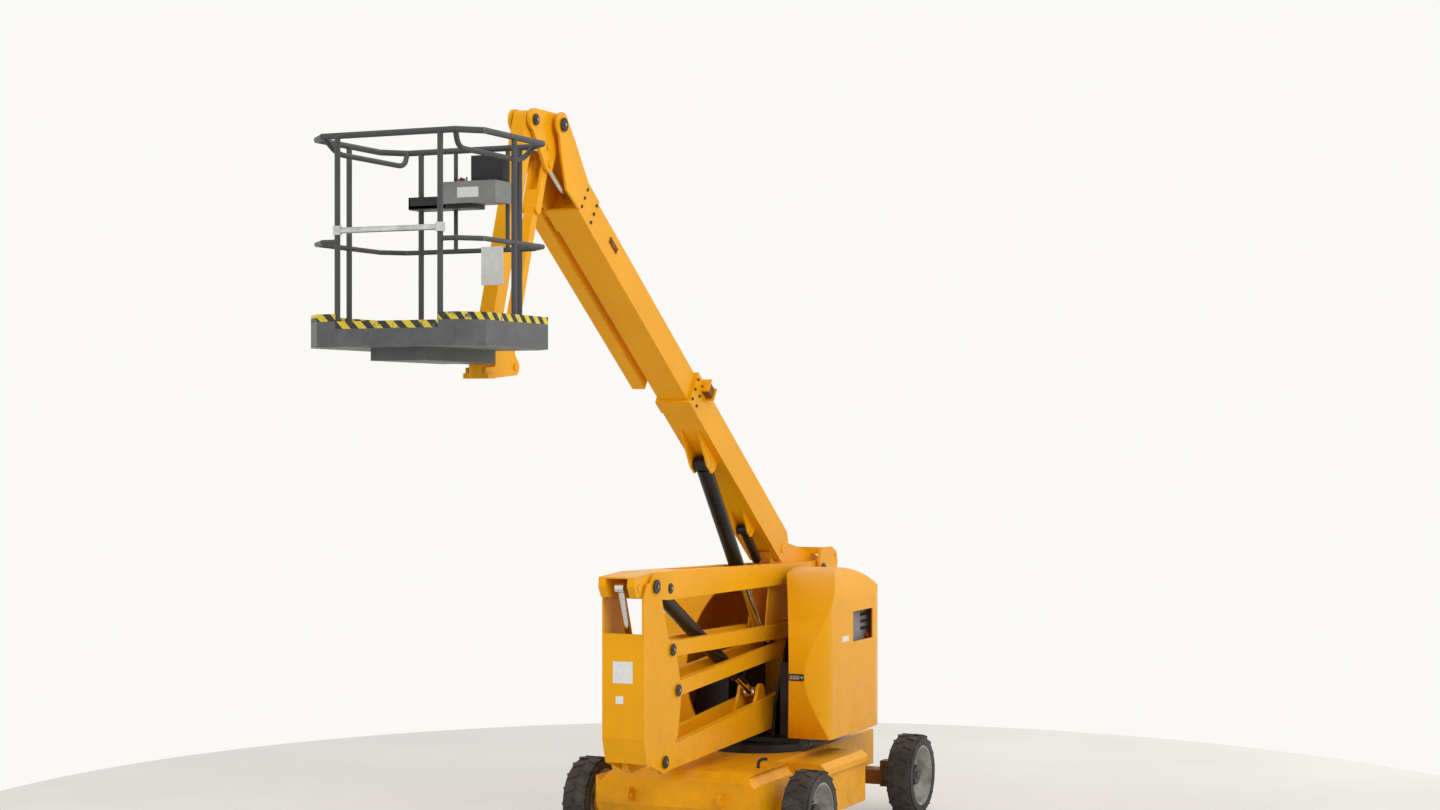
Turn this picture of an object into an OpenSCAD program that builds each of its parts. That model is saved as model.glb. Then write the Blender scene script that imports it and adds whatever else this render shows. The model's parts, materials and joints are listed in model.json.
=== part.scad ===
// Articulating boom lift: steered wheeled chassis, slewing turret, stacked lift arms,
// telescopic boom, parallelogram jib and a tubular work basket. Millimetres, +X forward, +Z up.

/* [Wheels] */
// Tyre diameter over the tread lugs
tyre_d = 600; // [540:5:660]
// Tyre width
tyre_w = 190; // [160:5:220]
// Rim seat diameter inside the tyre
rim_d = 440; // [400:5:470]
// Distance between the axles
wheelbase = 2020; // [1900:10:2200]
// Width over the tyres
overall_w = 1798; // [1740:2:1900]
// Tread lugs on each side of a tyre
lug_count = 18; // [12:1:20]
// Height of a tread lug
lug_h = 12; // [6:1:16]

/* [Chassis] */
// Height of the frame's top plate
frame_top = 590; // [560:5:600]
// Height of the frame's underside
frame_bottom = 330; // [300:5:380]
// Half width of the frame's spine
spine_half = 420; // [380:5:450]
// Front face of the nose
nose_x = 1370; // [1340:5:1420]
// Gap between the nose and the tyres
nose_gap = 109; // [90:1:140]
// Outer face of the side boxes
box_y = 720; // [690:5:760]
// Front end of the side boxes
box_front = 500; // [400:10:560]
// Rear end of the side boxes
box_rear = -325; // [-420:5:-200]

/* [Turret] */
// Thickness of the slew ring
ring_t = 55; // [40:5:60]
// Thickness of the turret's floor plate
deck_t = 35; // [25:5:40]
// Outer face of the hoods
hood_y = 640; // [600:5:680]
// Inner edge of the hoods
hood_in = 176; // [170:2:190]
// Height of the hoods' top
hood_top = 1860; // [1820:5:1900]
// Radius of the hoods' round side outline
hood_r = 720; // [700:5:740]
// Centre of the hoods' round outline
hood_x = -350; // [-380:5:-320]
// Radius of the hoods' front corner in plan
hood_front_r = 250; // [220:5:280]
// Radius of the hoods' rear corner in plan
hood_rear_r = 420; // [380:5:440]
// Wall of the hoods
hood_wall = 8; // [5:1:12]

/* [Lift arms] */
// Lower arm's pin to pin length
lower_len = 2000; // [1900:10:2050]
// Rise of the lower arm towards the rear
lower_tilt = 3.5; // [3:0.1:4.5]
// Upper arm's pin to pin length
upper_len = 2880; // [2800:10:2950]
// Fall of the upper arm towards the rear
upper_tilt = 0.9; // [0:0.1:1.4]
// Inner face of the arms' tubes
arm_in = 76; // [76:1:84]
// Outer face of the arms' tubes
arm_out = 126; // [116:1:127]
// Height of the upper arm
upper_h = 195; // [170:5:210]
// Height of the two links
link_h = 100; // [90:2:104]
// Radius of the arms' pins
pin_r = 30; // [24:1:34]

/* [Boom] */
// Angle of the boom above level
boom_angle = 35.6; // [30:0.2:40]
// Width of the base boom
base_w = 240; // [230:2:250]
// Height of the base boom
base_h = 235; // [225:1:245]
// Length of the base boom ahead of its pivot
base_len = 1919; // [1850:1:1980]
// Wall of the boom sections
boom_wall = 10; // [8:1:12]
// Gap between the two boom sections
boom_gap = 5; // [5:1:8]
// Distance from the pivot to the collar of the inner boom
collar_x = 3845; // [3700:5:3950]

/* [Jib and basket] */
// Jib's pin to pin length
jib_len = 1267; // [1150:1:1350]
// Angle of the jib below level
jib_angle = 71.4; // [68:0.1:74]
// Basket's size along the machine
basket_d = 900; // [800:5:950]
// Basket's size across the machine
basket_w = 1080; // [1000:5:1200]
// Height of the top rail above the tray's underside
basket_h = 1140; // [1050:5:1200]
// Height of the tray's wall
tray_h = 177; // [150:1:200]
// Radius of the rail tubes
rail_r = 17; // [14:1:20]

/* [Hidden] */
$fn = 48;

// Paint and metal colours
yellow = [0.93, 0.62, 0.08];
dark_yellow = [0.5, 0.25, 0.06];
black = [0.07, 0.07, 0.07];
grey = [0.28, 0.29, 0.29];
pale = [0.66, 0.66, 0.62];
chrome = [0.8, 0.8, 0.8];
rubber = [0.13, 0.12, 0.11];

// Clearances
run_gap = 0.05;   // a pin in its bore
side_gap = 8;     // plates beside the arms

// Wheels
axle_x = wheelbase / 2;
tyre_r = tyre_d / 2;
wheel_y = (overall_w - tyre_w) / 2;
nose_half = overall_w / 2 - tyre_w - nose_gap;
king_y = wheel_y - tyre_w / 2 - 19;
stub_r = 35;
tie_y = 330;
tie_z = 420;
tie_t = 20;
tie_r = 20;

// Post and arm pins in the XZ plane
post_front = 2175;
P1 = [2000, 1857];
P2 = [1755, 1435];
P3 = [1672, 1165];
P4 = [1870, 723];
T1 = P4 + lower_len * [-cos(lower_tilt), sin(lower_tilt)];
T2 = P3 + lower_len * [-cos(lower_tilt), sin(lower_tilt)];
A1 = P1 + upper_len * [-cos(upper_tilt), -sin(upper_tilt)];
U2 = P2 + upper_len * [-cos(upper_tilt), -sin(upper_tilt)];
plate_in = arm_out + side_gap;
plate_out = plate_in + 12;
head_out = arm_in - 6;
head_in = head_out - 10;
rest_hole = [-240, 95];
rest_r = 16;

// Cylinder pins in the XZ plane
arm_top = [1733, 1829];
arm_foot = [120, 990];
post_top = [2200, 1858];
post_foot = [1890, 1010];
boom_foot = [-39, 1390];
level_foot = [-120, 1800];
B0 = [-180, 1997];

// Boom's own frame: origin at the pivot, X along the boom
under_z = -92;
mid_z = under_z + base_h / 2;
inner_w = base_w - 2 * boom_wall - 2 * boom_gap;
inner_h = base_h - 2 * boom_wall - 2 * boom_gap;
lift_pin = [1285, -152];
slave_pin = [440, -130];
root_pin = [4303, 191];
rod_pin = [4303, 20];
function boom_at(p) = B0 + [p[0] * cos(boom_angle) - p[1] * sin(boom_angle),
                            p[0] * sin(boom_angle) + p[1] * cos(boom_angle)];
J1 = boom_at(root_pin);
L1 = boom_at(rod_pin);
lift_top = boom_at(lift_pin);
level_top = boom_at(slave_pin);

// Jib
jib_dir = [cos(jib_angle), -sin(jib_angle)];
J2 = [3470, 4660];
J3 = J2 + jib_len * jib_dir;
K2 = [3290, 4417];
K3 = K2 + jib_len * jib_dir;
fork_in = 30;

// Basket
basket_front = 4975;
basket_rear = basket_front - basket_d;
tray_z = 3295;
rail_z = tray_z + basket_h;
swivel_x = basket_rear - 60;
swivel_r = 30;

function dist(a, b) = norm(b - a);
function bearing(a, b) = atan2(b[1] - a[1], b[0] - a[0]);

// A flat outline in X and Z, given thickness from y0 to y1
module slab(y0, y1) { translate([0, y1, 0]) rotate([90, 0, 0]) linear_extrude(y1 - y0) children(); }
// The same slab on both sides
module slabs(y0, y1) {
    slab(y0, y1) children();
    slab(-y1, -y0) children();
}
// A round bar across the machine at p
module cross_pin(p, r, y0, y1) {
    translate([p[0], y1, p[1]]) rotate([90, 0, 0]) cylinder(r = r, h = y1 - y0);
}
// A frame with its X axis from a to b in the XZ plane
module along(a, b) { translate([a[0], 0, a[1]]) rotate([0, -bearing(a, b), 0]) children(); }
module boom_frame() { translate([B0[0], 0, B0[1]]) rotate([0, -boom_angle, 0]) children(); }
// A flat bar with round bosses at two points of the XZ plane
module bar2d(a, b, h) {
    translate(a) circle(d = h + 3);
    translate(b) circle(d = h + 3);
    translate(a) rotate(bearing(a, b)) translate([0, -h / 2]) square([dist(a, b), h]);
}
// A straight tube between two points
module tube(a, b, r) {
    v = b - a;
    translate(a) rotate([0, acos(v[2] / norm(v)), atan2(v[1], v[0])]) cylinder(r = r, h = norm(v));
}
// A run of tube with ball joints at the bends
module tube_run(pts, r) {
    for (i = [0 : len(pts) - 2]) tube(pts[i], pts[i + 1], r);
    for (i = [0 : len(pts) - 1]) translate(pts[i]) sphere(r = r + 0.5);
}

// Chassis

module chassis() {
    nose_fold = 90;
    color(yellow) difference() {
        union() {
            translate([-axle_x - 240, -spine_half, frame_bottom])
                cube([axle_x + 240 + nose_x - 200, 2 * spine_half, frame_top - frame_bottom]);
            // folded nose plate
            slab(-nose_half, nose_half) polygon([[axle_x - 330, frame_bottom], [axle_x - 330, frame_top],
                [nose_x - 90, frame_top], [nose_x, frame_top - 60], [nose_x, frame_bottom + 20],
                [nose_x - 40, frame_bottom - 40], [nose_x - 260, frame_bottom - 40]]);
        }
        // slanted upper corners of the nose
        for (s = [-1, 1]) translate([axle_x - 340, s * nose_half, frame_top]) rotate([s * 40, 0, 0])
            translate([0, -nose_fold, -nose_fold / 2]) cube([nose_x, 2 * nose_fold, nose_fold]);
    }
    // front stub axles
    color(black) for (s = [-1, 1]) translate([axle_x, s * (nose_half - 10), tyre_r]) rotate([-s * 90, 0, 0]) {
        cylinder(r = 95, h = wheel_y - tyre_w / 2 + 40 - nose_half + 10);
        cylinder(r = stub_r, h = wheel_y + 30 - nose_half + 10);
    }
    // tie-down ears on the nose
    color(yellow) for (s = [-1, 1]) slab(s * tie_y - tie_t / 2, s * tie_y + tie_t / 2) difference() {
        union() {
            translate([nose_x - 20, tie_z - 45]) square([50, 90]);
            translate([nose_x + 30, tie_z]) circle(r = 45);
        }
        translate([nose_x + 34, tie_z]) circle(r = tie_r);
    }
}

module side_boxes() {
    lid = 40;
    z0 = 200;
    color(yellow) for (s = [-1, 1]) slab_side(s)
        translate([box_rear, 0, 0]) rotate([90, 0, 90]) linear_extrude(box_front - box_rear)
            polygon([[spine_half, z0], [box_y - 20, z0], [box_y - 20, 480], [box_y, 480], [box_y, 520],
                [box_y - lid, 560], [spine_half, 560]]);
}
module slab_side(s) {
    if (s < 0) mirror([0, 1, 0]) children();
    else children();
}

module rear_axle() {
    beam_h = 150;
    color(dark_yellow) difference() {
        union() {
            translate([-axle_x - 90, -king_y + 80, tyre_r - beam_h / 2])
                cube([180, 2 * king_y - 160, frame_bottom - 0.3 - tyre_r + beam_h / 2]);
            for (s = [-1, 1]) for (z = [-95, 65]) translate([-axle_x, s * king_y, tyre_r + z]) {
                cylinder(r = 55, h = 30);
                translate([-55, s > 0 ? -110 : 0, 0]) cube([110, 110, 30]);
            }
            for (s = [-1, 1]) translate([-axle_x - 55, s > 0 ? king_y - 110 : -king_y + 80, tyre_r - 95])
                cube([110, 30, 190]);
        }
        for (s = [-1, 1]) translate([-axle_x, s * king_y, 0]) cylinder(r = 20 + run_gap, h = tyre_d);
    }
}

module slew_ring() {
    color(black) translate([0, 0, frame_top]) difference() {
        cylinder(r = 400, h = ring_t, $fn = 64);
        translate([0, 0, -1]) cylinder(r = 250, h = ring_t + 2, $fn = 64);
    }
}

// Steering knuckle and its stub axle; s is the side
module knuckle(s) {
    color(black) translate([-axle_x, s * king_y, tyre_r]) {
        translate([0, 0, -95]) cylinder(r = 20, h = 190);
        translate([0, 0, -60]) cylinder(r = 42, h = 120);
        rotate([-s * 90, 0, 0]) {
            cylinder(r = 40, h = wheel_y - king_y - 40);
            cylinder(r = stub_r, h = wheel_y - king_y + 30);
        }
    }
}
module knuckle_left() { knuckle(1); }
module knuckle_right() { knuckle(-1); }

// A wheel stands on its axle at the origin, its axis along Y
module tyre() {
    base_r = tyre_r - lug_h;
    shoulder = 18;
    lug_w = 44;
    lug_l = tyre_w / 2 - 18;
    lug_turn = 28;
    sides = 2 * lug_count;
    // how far a lug's corners stand to each side, and the flat top that brings them to the tyre's radius
    reach = lug_w / 2 * cos(lug_turn) + lug_l / 2 * sin(lug_turn);
    lug_top = sqrt(tyre_r * tyre_r - reach * reach);
    // the band under the lugs has a flat for each lug
    function band(r) = [for (i = [0 : sides - 1]) r * [cos(i * 360 / sides), sin(i * 360 / sides)]];
    color(rubber) rotate([90, asin(reach / tyre_r), 0]) {
        difference() {
            union() {
                translate([0, 0, shoulder - tyre_w / 2])
                    linear_extrude(tyre_w - 2 * shoulder) polygon(band(base_r));
                translate([0, 0, -tyre_w / 2]) linear_extrude(tyre_w) polygon(band(base_r - shoulder));
            }
            translate([0, 0, -tyre_w]) cylinder(r = rim_d / 2, h = 2 * tyre_w);
        }
        for (i = [0 : lug_count - 1]) for (s = [-1, 1])
            rotate([0, 0, (i + (s > 0 ? 0.5 : 0)) * 360 / lug_count]) translate([0, 0, s * (tyre_w / 4 - 2)])
                rotate([s * lug_turn, 0, 0]) translate([base_r - 14, -lug_w / 2, -lug_l / 2])
                    cube([lug_top - base_r + 14, lug_w, lug_l]);
    }
}
module rim(s) {
    rim_w = tyre_w - 12;
    color(pale) rotate([-s * 90, 0, 0])
        translate([0, 0, -rim_w / 2]) rotate_extrude($fn = 64) polygon([
            [stub_r + run_gap, rim_w / 2 + 40], [stub_r + run_gap, rim_w / 2 - 28], [110, rim_w / 2 - 28],
            [150, rim_w / 2 - 40], [rim_d / 2 - 34, rim_w / 2 - 40], [rim_d / 2 - 14, 8], [rim_d / 2 - 14, 0],
            [rim_d / 2, 0], [rim_d / 2, rim_w], [rim_d / 2 - 14, rim_w], [rim_d / 2 - 14, rim_w - 8],
            [rim_d / 2 - 30, rim_w / 2 - 10], [150, rim_w / 2 - 14], [105, rim_w / 2], [80, rim_w / 2 + 4],
            [70, rim_w / 2 + 40]]);
}
module at_wheel(x, s) { translate([x, s * wheel_y, tyre_r]) children(); }
module tyre_front_left() { at_wheel(axle_x, 1) tyre(); }
module tyre_front_right() { at_wheel(axle_x, -1) tyre(); }
module tyre_rear_left() { at_wheel(-axle_x, 1) tyre(); }
module tyre_rear_right() { at_wheel(-axle_x, -1) tyre(); }
module rim_front_left() { at_wheel(axle_x, 1) rim(1); }
module rim_front_right() { at_wheel(axle_x, -1) rim(-1); }
module rim_rear_left() { at_wheel(-axle_x, 1) rim(1); }
module rim_rear_right() { at_wheel(-axle_x, -1) rim(-1); }

// Turret

deck_z = frame_top + ring_t + 0.3;
deck_top = deck_z + deck_t;
hood_mid_z = hood_top - hood_r;
hinge_x = hood_x - hood_r + 18;
hinge_y = hood_in + 8;
hinge_r = 5;
hinge_z = [hood_mid_z - 110, hood_mid_z + 110];
weight_half = 150;
weight_rear = -1120;
weight_h = 620;
pack_h = 520;

module turret() {
    color(black) {
        // deck
        translate([0, 0, deck_z]) linear_extrude(deck_t)
            polygon([[-900, -300], [-700, -500], [-100, -540], [190, -400],
                [190, 400], [-100, 540], [-700, 500], [-900, 300]]);
        // uprights that carry the arms
        slabs(plate_in, plate_out + 8) polygon([[-460, deck_top - 1], [60, deck_top - 1], [20, 900],
            [-230, T2[1] + 70], [-400, T2[1] + 70], [-460, 1150]]);
        cross_pin(T1, pin_r, -plate_out - 14, plate_out + 14);
        cross_pin(T2, pin_r, -plate_out - 14, plate_out + 14);
    }
}

module counterweight() {
    round_r = 905;
    color(yellow) intersection() {
        translate([weight_rear, -weight_half, deck_top]) cube([640, 2 * weight_half, weight_h]);
        translate([weight_rear + round_r - 5, 0, deck_top - 1])
            cylinder(r = round_r, h = weight_h + 2, $fn = 64);
    }
    // hinge lugs and pins of the hoods
    lug_base = weight_half - 10;
    color(black) for (s = [-1, 1]) for (z = hinge_z) {
        translate([hinge_x - 6, s > 0 ? lug_base : -hinge_y, z - 15]) cube([18, hinge_y - lug_base, 30]);
        translate([hinge_x, s * hinge_y, z - 60]) cylinder(r = hinge_r, h = 120);
    }
}

module battery_packs() {
    pack_out = 460;
    color(black) for (s = [-1, 1]) translate([-800, s > 0 ? hood_in + 24 : -pack_out, deck_top])
        cube([860, pack_out - hood_in - 24, pack_h]);
}

// Outline of one hood, inset by d all round; left side
module hood_form(d) {
    z0 = deck_top + 8;
    top_r = 260;
    // small offsets keep the round faces from touching edge on
    flat = 0.6;
    top_out = 1.2;
    top_up = 20;
    rear_c = hood_x - hood_r - 20 + hood_rear_r;
    front_c = hood_x + hood_r + 30 - hood_front_r;
    intersection() {
        // side view
        slab(hood_in - 50, hood_y + 10) intersection() {
            translate([hood_x, hood_mid_z]) circle(r = hood_r - d, $fn = 96);
            translate([hood_x - hood_r, z0]) square([2 * hood_r, 2 * hood_r]);
        }
        // plan view
        translate([0, 0, z0 - 1]) linear_extrude(hood_top) union() {
            translate([rear_c, 0]) square([front_c - rear_c, hood_y - d - flat]);
            translate([rear_c - hood_rear_r + d, 0]) square([500, hood_y - hood_rear_r]);
            translate([rear_c, hood_y - hood_rear_r]) circle(r = hood_rear_r - d, $fn = 96);
            translate([front_c + hood_front_r - d - 300, 0]) square([300, hood_y - hood_front_r]);
            translate([front_c, hood_y - hood_front_r]) circle(r = hood_front_r - d, $fn = 96);
        }
        // front view
        translate([hood_x - hood_r - 10, 0, 0]) rotate([90, 0, 90]) linear_extrude(2 * hood_r + 20) union() {
            translate([0, z0 - 200]) square([hood_y - top_r, hood_top - z0 + 500]);
            translate([0, z0 - 200]) square([hood_y + 10, hood_top + top_up - top_r - z0 + 200]);
            translate([hood_y - top_r + top_out, hood_top + top_up - top_r]) circle(r = top_r - d, $fn = 96);
        }
    }
}
// Shell of one hood with its hinge knuckles; its window is over the ground controls
module hood_shell(window) {
    // the front edge slants back towards the arms
    edge_out = [387, 400];
    edge_run = [900, 400];
    difference() {
        union() {
            difference() {
                hood_form(0);
                hood_form(hood_wall);
                translate([hood_x - hood_r - 10, -10, 0]) cube([2 * hood_r + 20, hood_in + 10, 2 * hood_top]);
                linear_extrude(2 * hood_top) polygon([edge_out - edge_run, edge_out + edge_run,
                    [edge_out[0] + edge_run[0], edge_out[1] - edge_run[1]]]);
                if (window) translate([-640, hood_y - 120, 1340]) cube([400, 140, 215]);
            }
            for (z = hinge_z) for (e = [-60, 20])
                translate([hinge_x, hinge_y, z + e]) cylinder(r = 9, h = 40);
        }
        for (z = hinge_z) {
            translate([hinge_x, hinge_y, z - 70]) cylinder(r = hinge_r + run_gap, h = 140);
            translate([hinge_x - 30, hood_in - 5, z - 20]) cube([60, 40, 40]);
        }
    }
}
module hood_left() { color(yellow) hood_shell(true); }
module hood_right() { color(yellow) mirror([0, 1, 0]) hood_shell(false); }

module ground_controls() {
    box_h = hood_mid_z + 430 - deck_top - pack_h;
    color(grey) translate([-770, 455, deck_top + pack_h]) cube([400, 120, box_h]);
}

// Lift arms

module arm_bores(pts) { for (p = pts) cross_pin(p, pin_r + run_gap, -400, 400); }

module lower_arm() {
    color(yellow) difference() {
        union() {
            slabs(arm_in, arm_out) {
                polygon([P4 + [30, 75], T1 + [-40, 125], T1 + [-90, 0], T1 + [-40, -110], P4 + [30, -75]]);
                translate(P4) circle(r = 80);
                translate(T1) circle(r = 115);
            }
            slabs(arm_in - 18, arm_in + 5) union() {
                translate(arm_foot) circle(r = 62);
                polygon([arm_foot + [-62, 0], arm_foot + [62, 0],
                    arm_foot + [150, -130], arm_foot + [-120, -130]]);
            }
        }
        arm_bores([P4, T1]);
    }
    color(black) for (s = [-1, 1])
        cross_pin(arm_foot, 26, s > 0 ? arm_in - 18 : -arm_in - 4, s > 0 ? arm_in + 4 : -arm_in + 18);
}
module link_pair(a, b) {
    color(yellow) difference() {
        slabs(arm_in, arm_out) bar2d(a, b, link_h);
        arm_bores([a, b]);
    }
}
module lower_link() { link_pair(P3, T2); }
module upper_link() { link_pair(P2, U2); }

module post() {
    color(yellow) {
        slabs(plate_in, plate_out) {
            polygon([[post_front, 900], [post_front, 1790], [2120, 1880],
                [1940, 1900], [1880, 1700], [1810, 1520],
                P2 + [-62, 0], P3 + [-64, 10], P3 + [-60, -60], [1660, 880], P4 + [-80, -10], P4 + [10, -70],
                P4 + [90, -40], [2130, 740]]);
            translate(P1) circle(r = 75);
            translate(P2) circle(r = 62);
            translate(P3) circle(r = 62);
            translate(P4) circle(r = 72);
        }
        translate([post_front - 12, -plate_out, 900]) cube([12, 2 * plate_out, 665]);
        slab(-plate_out, plate_out)
            polygon([[post_front, 901], [post_front - 12, 901], [2118, 745], [2130, 740]]);
    }
    color(black) for (p = [P1, P2, P3, P4]) cross_pin(p, pin_r, -plate_out - 14, plate_out + 14);
    color(black) cross_pin(post_foot, 24, -plate_in - 1, plate_in + 1);
}

module upper_arm() {
    h = upper_h;
    rear_up = 62;
    rear_down = 80;
    cover_rise = 76;
    color(yellow) difference() {
        union() {
            slabs(arm_in, arm_out) union() {
                polygon([A1 + [0, rear_up], P1 + [-60, h / 2 - 8], post_top + [60, 70], post_top + [70, 10],
                    post_top + [30, -60], P1 + [-240, -h / 2 - 4], A1 + [0, -rear_down]]);
                translate(A1) circle(r = 70);
            }
            slab(-arm_out, arm_out) polygon([P1 + [-560, cover_rise], P1 + [-60, h / 2 - 8], post_top + [60, 70],
                post_top + [60, 60], P1 + [-60, h / 2 - 18], P1 + [-560, cover_rise - 10]]);
        }
        arm_bores([P1, A1]);
    }
    color(black) {
        cross_pin(arm_top, 24, -arm_out - 5, arm_out + 5);
        for (s = [-1, 1]) cross_pin(post_top, 24, s > 0 ? arm_in : -arm_out - 5, s > 0 ? arm_out + 5 : -arm_in);
    }
}

module head() {
    color(yellow) difference() {
        union() {
            slabs(head_in, head_out) {
                polygon([U2 + [-70, 0], A1 + [-120, 90], A1 + [0, 120], B0 + [-60, 60], B0 + [60, 40],
                    boom_foot + [60, 30], boom_foot + [20, -60], boom_foot + [-60, -40], [-420, 1560], U2 + [60, -60],
                    U2 + [-30, -66]]);
                translate(B0) circle(r = 80);
                translate(boom_foot) circle(r = 62);
            }
            slabs(plate_in, plate_out + 12) {
                polygon([A1 + [60, -70], A1 + [70, 60], A1 + [30, 160], A1 + [-180, 160], A1 + [-275, 120],
                    A1 + [-300, 40], A1 + [-260, -70]]);
            }
            slab(-plate_out - 12, plate_out + 12) polygon([A1 + [-10, 112], A1 + [20, 112], A1 + [20, 163],
                A1 + [-10, 163]]);
        }
        cross_pin(A1 + rest_hole, rest_r, -400, 400);
    }
    color(black) {
        cross_pin(A1, pin_r, -plate_out - 20, plate_out + 20);
        cross_pin(U2, pin_r, -arm_out - 6, arm_out + 6);
        cross_pin(B0, pin_r, -base_w / 2 - 6, base_w / 2 + 6);
    }
}

// Cylinders: the barrel's eye is at a, the rod's at b

module barrel(a, b, r, len, eye_r, eye_w, bore) {
    color(black) along(a, b) difference() {
        union() {
            rotate([90, 0, 0]) translate([0, 0, -eye_w / 2]) cylinder(r = eye_r, h = eye_w);
            translate([eye_r * 0.6, 0, 0]) rotate([0, 90, 0]) cylinder(r = r, h = len - eye_r * 0.6);
        }
        rotate([90, 0, 0]) translate([0, 0, -eye_w]) cylinder(r = bore + run_gap, h = 2 * eye_w);
        translate([eye_r + 30, 0, 0]) rotate([0, 90, 0]) cylinder(r = r * 0.6 + 0.3, h = len);
    }
}
module rod(a, b, r, start, eye_r, eye_w) {
    color(chrome) along(a, b) {
        translate([start, 0, 0]) rotate([0, 90, 0]) cylinder(r = r, h = dist(a, b) - start - eye_r * 0.6);
        translate([dist(a, b), 0, 0]) rotate([90, 0, 0]) translate([0, 0, -eye_w / 2])
            cylinder(r = eye_r, h = eye_w);
    }
}
module arm_barrel() { barrel(arm_top, arm_foot, 50, 1480, 46, 96, 24); }
module arm_rod() { rod(arm_top, arm_foot, 30, 160, 40, 80); }
module post_barrel() { barrel(post_foot, post_top, 40, 560, 40, 84, 24); }
module post_rod() { rod(post_foot, post_top, 24, 300, 34, 60); }
module boom_barrel() { barrel(lift_top, boom_foot, 54, 1090, 50, 100, 26); }
module boom_rod() { rod(lift_top, boom_foot, 32.4, 400, 44, 84); }
module level_barrel() { barrel(level_top, level_foot, 34, 330, 34, 80, 20); }
module level_rod() { rod(level_top, level_foot, 20.4, 190, 30, 50); }

// Boom

module base_boom() {
    hw = base_w / 2;
    slot = head_out + 6;
    color(yellow) boom_frame() difference() {
        union() {
            slab(-hw, hw) union() {
                translate([0, under_z]) square([base_len, base_h]);
                // the foot's rear stays close to the pivot, clear of the upper arm
                polygon([[0, under_z + base_h], [-70, 90], [under_z, 0], [0, 0]]);
                circle(r = -under_z);
            }
            translate([base_len - 120, -hw - 6, under_z - 6]) cube([120, base_w + 12, base_h + 12]);
            slabs(56, 70) polygon([lift_pin + [-70, 0], lift_pin + [-40, -50], lift_pin + [40, -50],
                [lift_pin[0] + 330, under_z + 4], [lift_pin[0] - 70, under_z + 4]]);
            slabs(46, 58) polygon([slave_pin + [-50, 0], slave_pin + [-30, -42], slave_pin + [30, -42],
                [slave_pin[0] + 200, under_z + 4], [slave_pin[0] - 50, under_z + 4]]);
        }
        // hollow for the inner boom, with a close mouth
        translate([150, -hw + boom_wall, under_z + boom_wall])
            cube([base_len - 190, base_w - 2 * boom_wall, base_h - 2 * boom_wall]);
        translate([base_len - 50, -inner_w / 2 - 0.3, mid_z - inner_h / 2 - 0.3])
            cube([60, inner_w + 0.6, inner_h + 0.6]);
        // slot for the head's cheeks
        translate([-200, -slot, -200]) cube([320, 2 * slot, 600]);
        cross_pin([0, 0], pin_r + run_gap, -400, 400);
    }
    color(black) boom_frame() {
        cross_pin(lift_pin, 26, -74, 74);
        cross_pin(slave_pin, 20, -62, 62);
    }
}

module inner_boom() {
    overlap = 420;
    cheek = 14;
    hw = inner_w / 2;
    fork_out = hw + 12;
    color(yellow) boom_frame() difference() {
        union() {
            translate([base_len - overlap, -hw, mid_z - inner_h / 2])
                cube([collar_x - base_len + overlap, inner_w, inner_h]);
            translate([collar_x - 180, -hw - 8, mid_z - inner_h / 2 - 8])
                cube([190, inner_w + 16, inner_h + 16]);
            slabs(fork_out - cheek, fork_out) union() {
                polygon([[collar_x, mid_z - inner_h / 2], [collar_x + 200, mid_z - inner_h / 2 - 10],
                    [root_pin[0] - 110, 20], root_pin + [70, -10], root_pin + [0, 75],
                    root_pin + [-130, 40], [collar_x, mid_z + inner_h / 2]]);
                translate(root_pin) circle(r = 75);
            }
            slab(-fork_out, fork_out) polygon([[collar_x, mid_z + inner_h / 2 - 10], [collar_x, mid_z + inner_h / 2],
                root_pin + [-140, 40], root_pin + [-132, 32]]);
        }
        translate([base_len - overlap - 10, -hw + boom_wall, mid_z - inner_h / 2 + boom_wall])
            cube([collar_x - base_len + overlap + 300, inner_w - 2 * boom_wall, inner_h - 2 * boom_wall]);
    }
    color(yellow) boom_frame() difference() {
        translate([collar_x - 60, -hw + boom_wall, mid_z - inner_h / 2 + boom_wall])
            cube([30, inner_w - 2 * boom_wall, inner_h - 2 * boom_wall]);
        translate([collar_x - 100, 0, rod_pin[1]]) rotate([0, 90, 0]) cylinder(r = 24.3, h = 100);
    }
    color(black) boom_frame() cross_pin(root_pin, pin_r, -fork_out - 14, fork_out + 14);
}

module cable_tray() {
    color(yellow) boom_frame() {
        translate([base_len + 150, -232, under_z - 6]) cube([collar_x - base_len - 110, 90, 86]);
        translate([collar_x - 60, -190, under_z + 20]) cube([60, 190 - inner_w / 2 - 8, 40]);
    }
}

// Jib

module jib_root() {
    half = 72;
    color(yellow) difference() {
        slabs(half - 18, half) union() {
            polygon([J1 + [0, 70], J2 + [0, 66], J2 + [66, 0], J2 + [20, -64], K2 + [40, -30], K2 + [0, -46],
                K2 + [-40, -20], J1 + [-60, -36]]);
            translate(J1) circle(r = 70);
            translate(J2) circle(r = 66);
            translate(K2) circle(r = 46);
        }
        cross_pin(J1, pin_r + run_gap, -300, 300);
    }
    color(yellow) slab(-half, half) polygon([J1 + [-10, 55], J2 + [-100, 58], J2 + [-100, 68], J1 + [-10, 65]]);
    color(black) {
        cross_pin(J2, 24, -half - 12, half + 12);
        for (s = [-1, 1]) {
            cross_pin(K2, 20, s > 0 ? fork_in : -half - 8, s > 0 ? half + 8 : -fork_in);
            cross_pin(L1, 18, s > 0 ? half - 1 : -half - 8, s > 0 ? half + 8 : 1 - half);
        }
    }
}

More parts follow.
